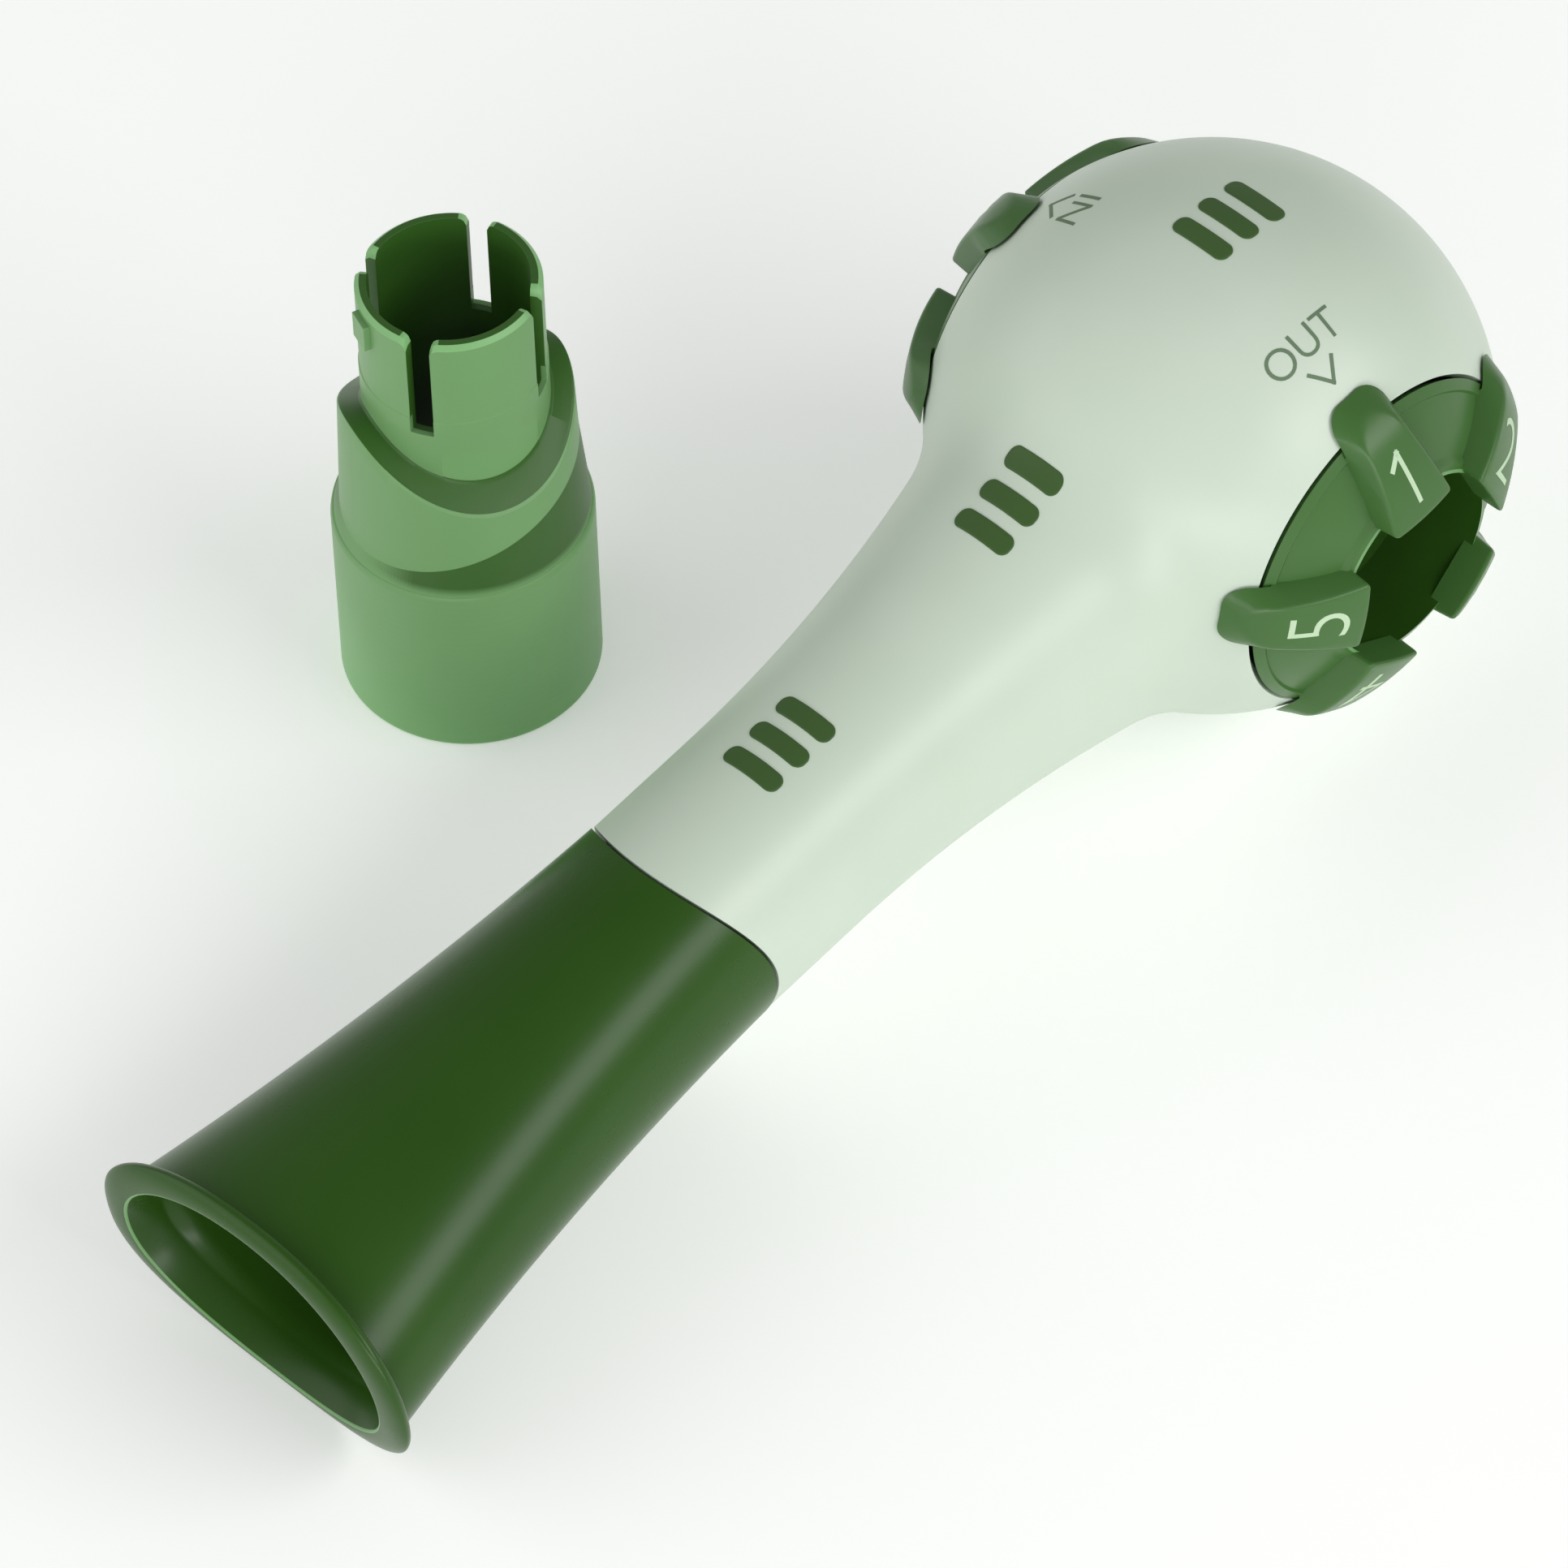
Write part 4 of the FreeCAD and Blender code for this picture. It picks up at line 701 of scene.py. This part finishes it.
def oval_point(angle, wide, tall, power=2.0):
    """A point on an oval. A power above 2 fills out its corners."""
    c, s = math.cos(angle), math.sin(angle)
    stretch = (abs(c) ** power + abs(s) ** power) ** (-1 / power)
    return wide * c * stretch, tall * s * stretch


def tube_ring(share, sections, start, end):
    """A ring of the flare. Share runs from 0 at the joint to 1 at the lip."""
    def ring(angle):
        station = start(0.0)
        for _ in range(3):
            x, z = oval_point(angle, *section(station, sections))
            low, high = start(x), end(x)
            station = low + (high - low) * share
        return Vector((x, -station, z))
    return ring


def lip_ring(wide, tall, behind, power):
    """A ring of the lip at a depth behind its front."""
    def ring(angle):
        x, z = oval_point(angle, wide, tall, power)
        return Vector((x, on_saddle(x, behind), z))
    return ring


def at_joint(x):
    return -joint_end(min(abs(x), NECK), beyond=DIAL_GAP)


def behind_lip(x):
    return -on_saddle(x, RIM_THICK)


def at_funnel(x):
    return -on_saddle(x, FUNNEL_DEPTH)


def end_ring(radius, start):
    """A round ring at the joint end."""
    return lambda angle: Vector((radius * math.cos(angle), -start(radius * math.cos(angle)),
                                 radius * math.sin(angle)))


def round_steps(count):
    """Sine and cosine over a quarter turn."""
    for step in range(count + 1):
        angle = math.pi / 2 * step / count
        yield math.sin(angle), math.cos(angle)


# %% The mouthpiece
def mouthpiece():
    bm = bmesh.new()
    rings = [tube_ring(step / 44, OUTSIDE, at_joint, behind_lip) for step in range(45)]
    back_wide, back_tall = section(MOUTH - RIM_THICK)
    # out along the back of the lip and round its edge
    rings.append(lip_ring(back_wide + 0.25, back_tall + 0.5, RIM_THICK, 2.2))
    for sine, cosine in round_steps(6):
        rings.append(lip_ring(RIM_WIDE - LIP + LIP * sine, RIM_TALL - LIP + LIP * sine,
                              RIM_THICK - LIP + LIP * cosine, RIM_POWER))
    # the front swells from that edge to a crest, turns in over it and runs down into the bore
    mouth_wide, mouth_tall = section(MOUTH, BORE)
    crest_wide, crest_tall = mouth_wide + FUNNEL, mouth_tall + FUNNEL
    front = RIM_THICK - LIP
    for sine, cosine in list(round_steps(14))[1:]:
        rings.append(lip_ring(crest_wide + CREST + (RIM_WIDE - crest_wide - CREST) * cosine,
                              crest_tall + CREST + (RIM_TALL - crest_tall - CREST) * cosine,
                              front * (1 - sine ** 1.2),
                              CREST_POWER + (RIM_POWER - CREST_POWER) * cosine))
    for sine, cosine in list(round_steps(5))[1:-1]:
        rings.append(lip_ring(crest_wide + CREST * (1 - sine), crest_tall + CREST * (1 - sine),
                              CREST * (1 - cosine), CREST_POWER))
    for step in range(1, 8):
        left = 1 - step / 8
        rings.append(lip_ring(mouth_wide + FUNNEL * left ** 2, mouth_tall + FUNNEL * left ** 2,
                              CREST + (FUNNEL_DEPTH - CREST) * (1 - left),
                              2.0 + (CREST_POWER - 2.0) * left))
    rings += [tube_ring(1 - step / 30, BORE, lambda x: THROAT[1], at_funnel)
              for step in range(31)]
    rings += [end_ring(SPIGOT_BORE, lambda x: THROAT[0]), end_ring(SPIGOT - 0.1, at_joint)]
    pull_rings(bm, rings)

    def lip_light(spot, _):
        """A painted highlight runs along the lip's crest."""
        out = ((abs(spot.x) / crest_wide) ** CREST_POWER
               + (abs(spot.z) / crest_tall) ** CREST_POWER)
        return -0.6 if 0.99 < out < 1.045 and spot.y < on_saddle(spot.x, 0.4) else 0.0

    return finished(bm, "mouthpiece_flare", "mouthpiece", TRAINER, bevel=0.1,
                    replaces=("mouthpiece",), sharp=50, painted_shading=lip_light)


flare = mouthpiece()

# %% [markdown]
# Both the mouthpiece and the adapter end in a spigot with four spring fingers. Slots could be cut
# with a boolean, but a tube in steps that match the slots needs no cut: the fingers are pulled up
# out of its end face, and their corners come from lowering a few points.

# %% Spring fingers
SLOT_STEPS = 8  # steps of a full turn that one slot takes up
CORNER = 0.9  # rounding of a finger's top corners
CHAMFER = 0.45


def raise_fingers(bm, top, height):
    """Pulls four fingers out of a flat ring that faces +Z, leaving slots at 45 degrees."""
    half = math.pi * SLOT_STEPS / SEGMENTS

    def from_slot(spot):
        """Distance round the ring from the nearest side of a slot."""
        angle = math.atan2(spot.y, spot.x) % (math.pi / 2)
        return (abs(angle - math.pi / 4) - half) * spot.xy.length

    kept = [face for face in top if from_slot(face.calc_center_median()) > 0]
    made = bmesh.ops.extrude_face_region(bm, geom=kept)["geom"]
    bmesh.ops.delete(bm, geom=kept, context="FACES_ONLY")
    for vert in verts_in(made):
        vert.co.z += height
        short = max(CORNER - from_slot(vert.co), 0.0)
        vert.co.z -= CORNER - math.sqrt(CORNER ** 2 - min(short, CORNER) ** 2)
        if vert.co.xy.length > SPIGOT - 0.02:
            vert.co.z -= CHAMFER


def polar(radius, angle, height):
    return Vector((radius * math.cos(angle), radius * math.sin(angle), height))


def flat_ring(radius, height):
    return lambda angle: polar(radius, angle, height)


def add_lug(bm, size, spot):
    """A small block on a finger, which locates the spigot."""
    lug = bmesh.new()
    block(lug, *size)
    bmesh.ops.translate(lug, verts=lug.verts[:], vec=spot)
    joined(bm, lug)


# %% The mouthpiece's spigot
SPIGOT_HELD = 2.0  # how far it reaches into the mouthpiece, past the tip of the joint
LUG_DOWN = 4.0  # from a spigot's end to the foot of its locating lug


def spigot():
    """The mouthpiece's own spigot, drawn upright and then laid along the trainer."""
    bm = bmesh.new()
    slot_level = JOINT_TIP + SPIGOT_HELD - SPIGOT_END - SLOT_DEPTH
    rings = [flat_ring(SPIGOT_BORE - 0.02, 0), flat_ring(SPIGOT_BORE - 0.02, slot_level),
             flat_ring(SPIGOT - CHAMFER, slot_level), flat_ring(SPIGOT, slot_level),
             flat_ring(SPIGOT, 0)]
    pull_rings(bm, rings)
    top = [face for face in bm.faces if face.normal.z > 0.9]
    raise_fingers(bm, top, SLOT_DEPTH)
    add_lug(bm, (1.6, 2.4, 3.0), (SPIGOT - 0.25, 0, slot_level + SLOT_DEPTH - LUG_DOWN))
    place = TRAINER @ Matrix.Translation((0, -JOINT_TIP - SPIGOT_HELD, 0)) @ Matrix.Rotation(
        -math.pi / 2, 4, "X")
    return finished(bm, "mouthpiece_spigot", "mouthpiece", place,
                    bevel=SOFT_EDGE, replaces=("mouthpiece",))


mouth_spigot = spigot()

# %% [markdown]
# The adapter looks turned, but two of its edges aren't level: a sloping shoulder climbs round the
# collar, and the ledge above it waves up and down to match the neck. A turned section can't do
# that, and rings whose height follows the angle give both.

# %% Adapter sizes
COLLAR = 12.15
COLLAR_TOP = 20.4
SOCKET = 11.0
SOCKET_DEPTH = 16.0
CONE_TOP = 19.5
STUB_FOOT = 11.3
STUB_TOP = 10.75
LEDGE = 33.2  # middle height of the wavy ledge
LEDGE_WAVE = 6.6
LEDGE_FALL = 2.3  # how far its low places fall outwards
STEP_LINE = 40.2  # a fine step round the spigot
STEP_WIDE = 0.07  # its height, and how far it stands out
STEP_OUT = 0.1
COLLAR_ROUND = 0.8
FOOT_ROUND = 0.45
ADAPTER_TOP = 50.2
SLOPE_START = 1.2
SLOPE_RISE = 8.2
SLOPE_TURN = math.radians(-87.0)
ledge_arc = (STUB_TOP ** 2 + LEDGE_WAVE ** 2) / (2 * LEDGE_WAVE)
print("ledge arc", round(ledge_arc, 2), "mm")


# %% Rings of the adapter
def stub_radius(height):
    """The stub narrows evenly from the collar to its ledge."""
    share = (height - COLLAR_TOP) / (LEDGE + LEDGE_WAVE / 2 - COLLAR_TOP)
    return STUB_FOOT + (STUB_TOP - STUB_FOOT) * share


def slope_height(angle):
    """Where the sloping shoulder meets the stub."""
    return COLLAR_TOP + SLOPE_START + SLOPE_RISE * (1 - math.cos(angle - SLOPE_TURN)) / 2


def ledge_height(angle, radius):
    """The ledge is level across its high places and falls outwards at its low ones."""
    inwards = (STUB_TOP - radius) / (STUB_TOP - SPIGOT)
    across = STUB_TOP * math.sin(angle)
    edge = LEDGE - LEDGE_WAVE / 2 + ledge_arc - math.sqrt(ledge_arc ** 2 - across ** 2)
    return edge + LEDGE_FALL * inwards * math.cos(angle) ** 2


def shoulder_ring(share):
    """From the collar's round edge, in and up to the line where the shoulder meets the stub."""
    def ring(angle):
        top = slope_height(angle)
        start = COLLAR - COLLAR_ROUND * 0.4
        radius = start + (stub_radius(top) - start) * share
        return polar(radius, angle, COLLAR_TOP + (top - COLLAR_TOP) * share)
    return ring


def stub_ring(share):
    """From the shoulder's upper line to just below the ledge."""
    def ring(angle):
        low = slope_height(angle)
        high = ledge_height(angle, STUB_TOP) - 0.3
        height = low + (high - low) * share
        return polar(stub_radius(height), angle, height)
    return ring


def ledge_ring(radius, drop=0.0):
    return lambda angle: polar(radius, angle, ledge_height(angle, radius) - drop)


# %% Where the adapter gets painted shade and painted light
def adapter_polish(spot, normal):
    """Painted shade on the bore, the shoulder and the ledge; painted light on the collar, growing
    towards its foot, and on the fingers' top chamfers.
    """
    away = spot.xy.length
    angle = math.atan2(spot.y, spot.x)
    # painted light on the collar, strongest on the foot's rounding and fading upwards
    if away > COLLAR - 0.42 and spot.z < COLLAR_TOP - COLLAR_ROUND:
        return -0.9 if spot.z < 0.4 else -0.6 * (1 - spot.z / COLLAR_TOP)
    # a painted highlight on the sloped faces at the fingers' tops
    if spot.z > ADAPTER_TOP - 1.5 and away < SPIGOT and 0.3 < normal.z < 0.97:
        return -0.5
    # painted shade in the bore and the socket
    if away < SPIGOT - 0.2 or (away < SOCKET + 0.1 and spot.z < CONE_TOP):
        return 1.0
    # painted shade on the upward faces of the ledge
    if SPIGOT + 0.2 < away < STUB_TOP and normal.z > 0.4 and spot.z > LEDGE - LEDGE_WAVE:
        return 1.0
    top = slope_height(angle)
    if away > COLLAR - 0.1 or not COLLAR_TOP < spot.z < top - 0.02:
        return 0.0
    # the painted shade on the shoulder fades out where it is low, and towards the collar's edge
    return (min((top - COLLAR_TOP - SLOPE_START) / 0.9, 1.0)
            * min((spot.z - COLLAR_TOP) / 0.9, 1.0))


# %% The adapter
def adapter():
    bm = bmesh.new()
    slot_level = ADAPTER_TOP - SLOT_DEPTH
    rings = [flat_ring(SPIGOT_BORE, slot_level), flat_ring(SPIGOT_BORE, CONE_TOP),
             flat_ring(SOCKET, SOCKET_DEPTH), flat_ring(SOCKET, 0.25), flat_ring(SOCKET + 0.25, 0),
             flat_ring(COLLAR - FOOT_ROUND, 0)]
    rings += [flat_ring(COLLAR - FOOT_ROUND * (1 - sine), FOOT_ROUND * (1 - cosine))
              for sine, cosine in round_steps(4)][1:]
    rings += [flat_ring(COLLAR, (COLLAR_TOP - COLLAR_ROUND) * step / 24) for step in range(1, 24)]
    rings += [flat_ring(COLLAR - COLLAR_ROUND * 0.4 * (1 - cosine),
                        COLLAR_TOP - COLLAR_ROUND * (1 - sine))
              for sine, cosine in round_steps(6)][:-1]
    rings += [shoulder_ring(step / 24) for step in range(25)]
    rings += [stub_ring(step / 8) for step in range(1, 9)]
    rings += [ledge_ring(STUB_TOP - 0.05, 0.08), ledge_ring(STUB_TOP - 0.3, 0.0)]
    rings += [ledge_ring(SPIGOT + 0.35, 0.0), ledge_ring(SPIGOT + 0.1, -0.25)]
    rings += [flat_ring(SPIGOT + 0.08, slot_level - 0.35), flat_ring(SPIGOT, slot_level - 0.2),
              flat_ring(SPIGOT, slot_level), flat_ring(SPIGOT - CHAMFER, slot_level)]
    pull_rings(bm, rings)
    top = [face for face in bm.faces
           if face.normal.z > 0.9 and face.calc_center_median().z > slot_level - 0.05]
    raise_fingers(bm, top, SLOT_DEPTH)
    cut_across(bm, 2, (STEP_LINE, STEP_LINE + STEP_WIDE))
    for vert in bm.verts:
        if (LEDGE < vert.co.z < STEP_LINE + STEP_WIDE / 2
                and abs(vert.co.xy.length - SPIGOT) < 0.05):
            vert.co.xy *= (SPIGOT + STEP_OUT) / SPIGOT
    add_lug(bm, (2.4, 1.4, 3.0), (0, -SPIGOT + 0.15, ADAPTER_TOP - LUG_DOWN))
    return finished(bm, "adapter_moulding", "adapter", ADAPTER, bevel=SOFT_EDGE,
                    replaces=("adapter",), sharp=32, painted_shading=adapter_polish)


adapter_piece = adapter()

# %% [markdown]
# Plastics differ less in colour than in how they shine. Each finish here has a base colour that
# drifts a little, as thick and thin places of a moulding do, a gloss that is broken by faint
# handling marks, and a very fine grain from the tool. All of it comes from noise on the piece's own
# coordinates, so no finish slides when its piece moves.

# %% Shader tools
class Amount:
    """A number that varies over a surface. Signs between amounts add Math nodes."""

    def __init__(self, finish, socket):
        self.finish = finish
        self.socket = socket

    def _with(self, operation, first, second):
        return self.finish.amount("ShaderNodeMath", 0, {"operation": operation},
                                  {0: first, 1: second})

    def __add__(self, other):
        return self._with("ADD", self, other)

    def __sub__(self, other):
        return self._with("SUBTRACT", self, other)

    def __rsub__(self, other):
        return self._with("SUBTRACT", other, self)

    def __mul__(self, other):
        return self._with("MULTIPLY", self, other)

    __radd__ = __add__
    __rmul__ = __mul__


class Nodes:
    """A node tree whose nodes are added by type, with their settings, values and links."""

    def __init__(self, owner):
        owner.use_nodes = True
        self.tree = owner.node_tree
        self.tree.nodes.clear()

    def node(self, kind, settings=None, values=None):
        made = self.tree.nodes.new(kind)
        for key, setting in (settings or {}).items():
            setattr(made, key, setting)
        for key, value in (values or {}).items():
            socket = made.inputs[key]
            source = value.socket if isinstance(value, Amount) else value
            if isinstance(source, bpy.types.NodeSocket):
                self.tree.links.new(source, socket)
            else:
                socket.default_value = source
        return made

    def amount(self, kind, output, settings=None, values=None):
        """One output of a new node, as an amount."""
        return Amount(self, self.node(kind, settings, values).outputs[output])


class Finish(Nodes):
    """A material."""

    def __init__(self, name):
        self.material = bpy.data.materials.new(name)
        super().__init__(self.material)

    def place(self):
        return self.node("ShaderNodeTexCoord").outputs["Object"]

    def noise(self, scale, detail=3.0, roughness=0.5):
        return self.amount("ShaderNodeTexNoise", "Fac", {"noise_dimensions": "3D"}, {
            "Vector": self.place(), "Scale": scale, "Detail": detail, "Roughness": roughness})

    def blend(self, share, first, second):
        node = self.node("ShaderNodeMix", {"data_type": "RGBA"}, {
            "Factor": share, 6: first, 7: second})
        return node.outputs[2]

    def surface(self, **values):
        shader = self.node("ShaderNodeBsdfPrincipled", None, values)
        self.node("ShaderNodeOutputMaterial", None, {"Surface": shader.outputs["BSDF"]})
        return self.material


def linear(*shade):
    """A screen colour out of 255 as the light it stands for."""
    return tuple(
        (value / 255 / 12.92) if value <= 10 else ((value / 255 + 0.055) / 1.055) ** 2.4
        for value in shade) + (1.0,)


# %% Plastics and inks
def moulded(name, deep, pale, gloss, marks, grain, specular=0.5, painted_shading=None, edge=None):
    """Injection-moulded plastic: drifting colour, handling marks in the gloss, and tool grain.

    Where the face attribute is above zero, a darker colour is painted in as shade.
    Where it is below zero, a paler colour is painted in as highlight.
    """
    finish = Finish(name)
    drift = finish.noise(55.0, 2.0) * 1.6 - 0.3
    smudge = finish.noise(170.0, 4.0, 0.65)
    fine = finish.noise(2600.0, 2.0)
    bump = finish.node("ShaderNodeBump", None, {
        "Strength": grain, "Distance": 0.00002, "Height": fine})
    colour = finish.blend(drift, linear(*deep), linear(*pale))
    rough = smudge * marks + (gloss - marks / 2)
    painted_shading_amount = finish.amount("ShaderNodeAttribute", "Fac", {"attribute_name": "painted_shading_amount"})
    # a darker colour painted in as shade where the attribute is above zero
    if painted_shading:
        colour = finish.blend(painted_shading_amount, colour, linear(*painted_shading))
    # a paler colour painted in as highlight where the attribute is below zero
    if edge:
        colour = finish.blend(painted_shading_amount * -1.0, colour, linear(*edge))
    return finish.surface(**{
        "Base Color": colour,
        "Roughness": rough,
        "Normal": bump.outputs["Normal"],
        "Specular IOR Level": specular,
    })


FINISHES = {
    "shell": moulded("pale shell plastic", (208, 223, 205), (219, 231, 216), 0.36, 0.08, 0.10),
    # the mouthpiece's paler colour is a painted highlight along the lip's crest
    "mouthpiece": moulded("deep green mouthpiece", (42, 80, 18), (50, 89, 24), 0.28, 0.06, 0.04,
                          specular=0.3, edge=(150, 204, 138)),
    # the dial's darker colour is painted shade in the cup, its paler one a painted highlight round
    # the rim
    "dial": moulded("mid green dial", (64, 106, 48), (72, 115, 56), 0.32, 0.08, 0.10,
                    specular=0.4, painted_shading=(44, 82, 22), edge=(150, 204, 140)),
    # the adapter's darker colour is painted shade in the bore, on the shoulder and the ledge; its
    # paler one is painted light on the collar and the fingers' chamfers
    "adapter": moulded("light green adapter", (112, 158, 100), (122, 168, 110), 0.4, 0.08, 0.12,
                       specular=0.4, painted_shading=(54, 98, 32), edge=(150, 212, 140)),
    "grip": moulded("green grip bars", (62, 92, 44), (72, 103, 54), 0.46, 0.10, 0.30,
                    specular=0.3),
    "inner": moulded("white inner plastic", (206, 214, 203), (218, 225, 215), 0.40, 0.08, 0.15),
    "silicone": moulded("pale silicone", (196, 205, 195), (208, 216, 207), 0.52, 0.08, 0.10),
    "gasket": moulded("dark soft ring", (38, 44, 38), (46, 52, 46), 0.6, 0.08, 0.2),
}
ink_dark = moulded("printed grey green", (104, 126, 98), (112, 134, 106), 0.5, 0.1, 0.1,
                   specular=0.3)
ink_pale = moulded("printed pale green", (196, 222, 186), (206, 230, 196), 0.5, 0.1, 0.1,
                   specular=0.3)
print("finishes:", ", ".join(FINISHES))

# %% Finishes on pieces
def wear(piece, material):
    piece.data.materials.clear()
    piece.data.materials.append(material)


for material, pieces in ((FINISHES["shell"], (front_shell, rear_shell)),
                         (FINISHES["dial"], (exhale_dial, inhale_dial)),
                         (FINISHES["mouthpiece"], (flare, mouth_spigot)),
                         (FINISHES["grip"], bars),
                         (FINISHES["adapter"], (adapter_piece,)),
                         (ink_pale, (exhale_numbers, inhale_numbers)),
                         (ink_dark, (exhale_print, inhale_print))):
    for piece in pieces:
        wear(piece, material)

slots = {part["node"]: part["material_slot"] for part in record["subparts"]}
for name, node in frame["nodes"].items():
    if name not in covered:
        for socket in node.material_slots:
            socket.material = FINISHES[slots[name]]
print("covered:", len(covered), "of", len(slots), "nodes")

# %% [markdown]
# The studio is plain: a pale floor that keeps the shadows, walls that are brighter than the ceiling,
# a soft lamp at the right for the long highlights, a weaker one at the left and a low fill in front.
# The floor glows only where the camera or a mirror sees it, so it looks white without lighting the
# plastics from below.

# %% Floor and lamps
FLOOR_SIZE = 3.0
FLOOR_GLOW = 0.33  # lifts the pale floor towards white where it is seen or mirrored
bm = bmesh.new()
bmesh.ops.create_grid(bm, x_segments=1, y_segments=1, size=FLOOR_SIZE)
floor_mesh = bpy.data.meshes.new("floor")
bm.to_mesh(floor_mesh)
bm.free()
floor = bpy.data.objects.new("floor", floor_mesh)
bpy.context.collection.objects.link(floor)
floor_finish = Finish("pale floor")
paper = floor_finish.noise(30.0, 2.0)
paper_colour = floor_finish.blend(paper, linear(247, 248, 246), linear(250, 251, 249))
plain, glowing = (floor_finish.node("ShaderNodeBsdfPrincipled", None, {
    "Base Color": paper_colour, "Roughness": 0.9, "Specular IOR Level": 0.1,
    "Emission Color": (1, 1, 1, 1), "Emission Strength": glow}) for glow in (0.0, FLOOR_GLOW))
seen = (floor_finish.amount("ShaderNodeLightPath", "Is Camera Ray")
        + floor_finish.amount("ShaderNodeLightPath", "Is Glossy Ray"))
mixed = floor_finish.node("ShaderNodeMixShader", None, {
    "Fac": seen, 1: plain.outputs["BSDF"], 2: glowing.outputs["BSDF"]})
floor_finish.node("ShaderNodeOutputMaterial", None, {"Surface": mixed.outputs["Shader"]})
wear(floor, floor_finish.material)


def seen_from(azimuth, elevation):
    """The direction from the object to a place round it and above it, in degrees."""
    a, e = math.radians(azimuth), math.radians(elevation)
    return Vector((math.sin(a) * math.cos(e), -math.cos(a) * math.cos(e), math.sin(e)))


def lamp(name, azimuth, elevation, distance, width, height, watts):
    """A soft rectangular lamp aimed at the object's middle."""
    light = bpy.data.lights.new(name, "AREA")
    light.shape = "RECTANGLE"
    light.size = width
    light.size_y = height
    light.energy = watts
    holder = bpy.data.objects.new(name, light)
    bpy.context.collection.objects.link(holder)
    back = seen_from(azimuth, elevation)
    holder.location = back * distance
    holder.rotation_mode = "QUATERNION"
    holder.rotation_quaternion = back.to_track_quat("Z", "Y")
    print(name, watts, "W")


lamp("right softbox", 108, 36, 1.1, 1.0, 0.36, 4.6)
lamp("left softbox", 318, 26, 1.2, 1.4, 1.0, 3.8)
lamp("front fill", 40, 10, 1.2, 1.1, 0.25, 4.4)

# %% The surround
WALLS = 0.66  # light of the walls at the height of the table
DIMMER_ABOVE = 0.46  # how much of it the ceiling lacks
world = bpy.data.worlds.new("surround")
bpy.context.scene.world = world
sky = Nodes(world)
direction = sky.node("ShaderNodeTexCoord").outputs["Generated"]
height = sky.amount("ShaderNodeSeparateXYZ", "Z", None, {"Vector": direction})
lit = sky.node("ShaderNodeBackground", None, {
    "Color": (0.97, 1.0, 0.97, 1), "Strength": WALLS - height * DIMMER_ABOVE})
white = sky.node("ShaderNodeBackground", None, {"Color": (1, 1, 1, 1), "Strength": 1.0})
camera_ray = sky.amount("ShaderNodeLightPath", "Is Camera Ray")
either = sky.node("ShaderNodeMixShader", None, {
    "Fac": camera_ray, 1: lit.outputs["Background"], 2: white.outputs["Background"]})
sky.node("ShaderNodeOutputWorld", None, {"Surface": either.outputs["Shader"]})

# %% [markdown]
# The camera stands where the photograph was taken from: far off, at about 50 degrees above the
# table, with a long lens and a slight roll.

# %% Camera
PICTURE = 1932  # pixels along each side
FOCAL = 14000.0  # focal length in those pixels
SENSOR = 36.0
AZIMUTH, ELEVATION, ROLL = 45.1, 49.7, -1.88
DISTANCE = 1.04346
AIM_FROM_HEAD = Vector((-0.01492, -0.04159))

camera_data = bpy.data.cameras.new("camera")
camera_data.sensor_width = SENSOR
camera_data.lens = FOCAL / PICTURE * SENSOR
camera = bpy.data.objects.new("camera", camera_data)
bpy.context.collection.objects.link(camera)
a, r = math.radians(AZIMUTH), math.radians(ROLL)
back = seen_from(AZIMUTH, ELEVATION)
right = Vector((math.cos(a), math.sin(a), 0))
up = back.cross(right)
right, up = math.cos(r) * right + math.sin(r) * up, -math.sin(r) * right + math.cos(r) * up
aim = Vector((head_at.x + AIM_FROM_HEAD.x, head_at.y + AIM_FROM_HEAD.y, 0))
spot = aim + back * DISTANCE
camera.matrix_world = Matrix((
    (right.x, up.x, back.x, spot.x), (right.y, up.y, back.y, spot.y),
    (right.z, up.z, back.z, spot.z), (0, 0, 0, 1)))
camera_data.clip_start, camera_data.clip_end = 0.01, 10
bpy.context.scene.camera = camera
bpy.context.scene.view_settings.view_transform = "Standard"
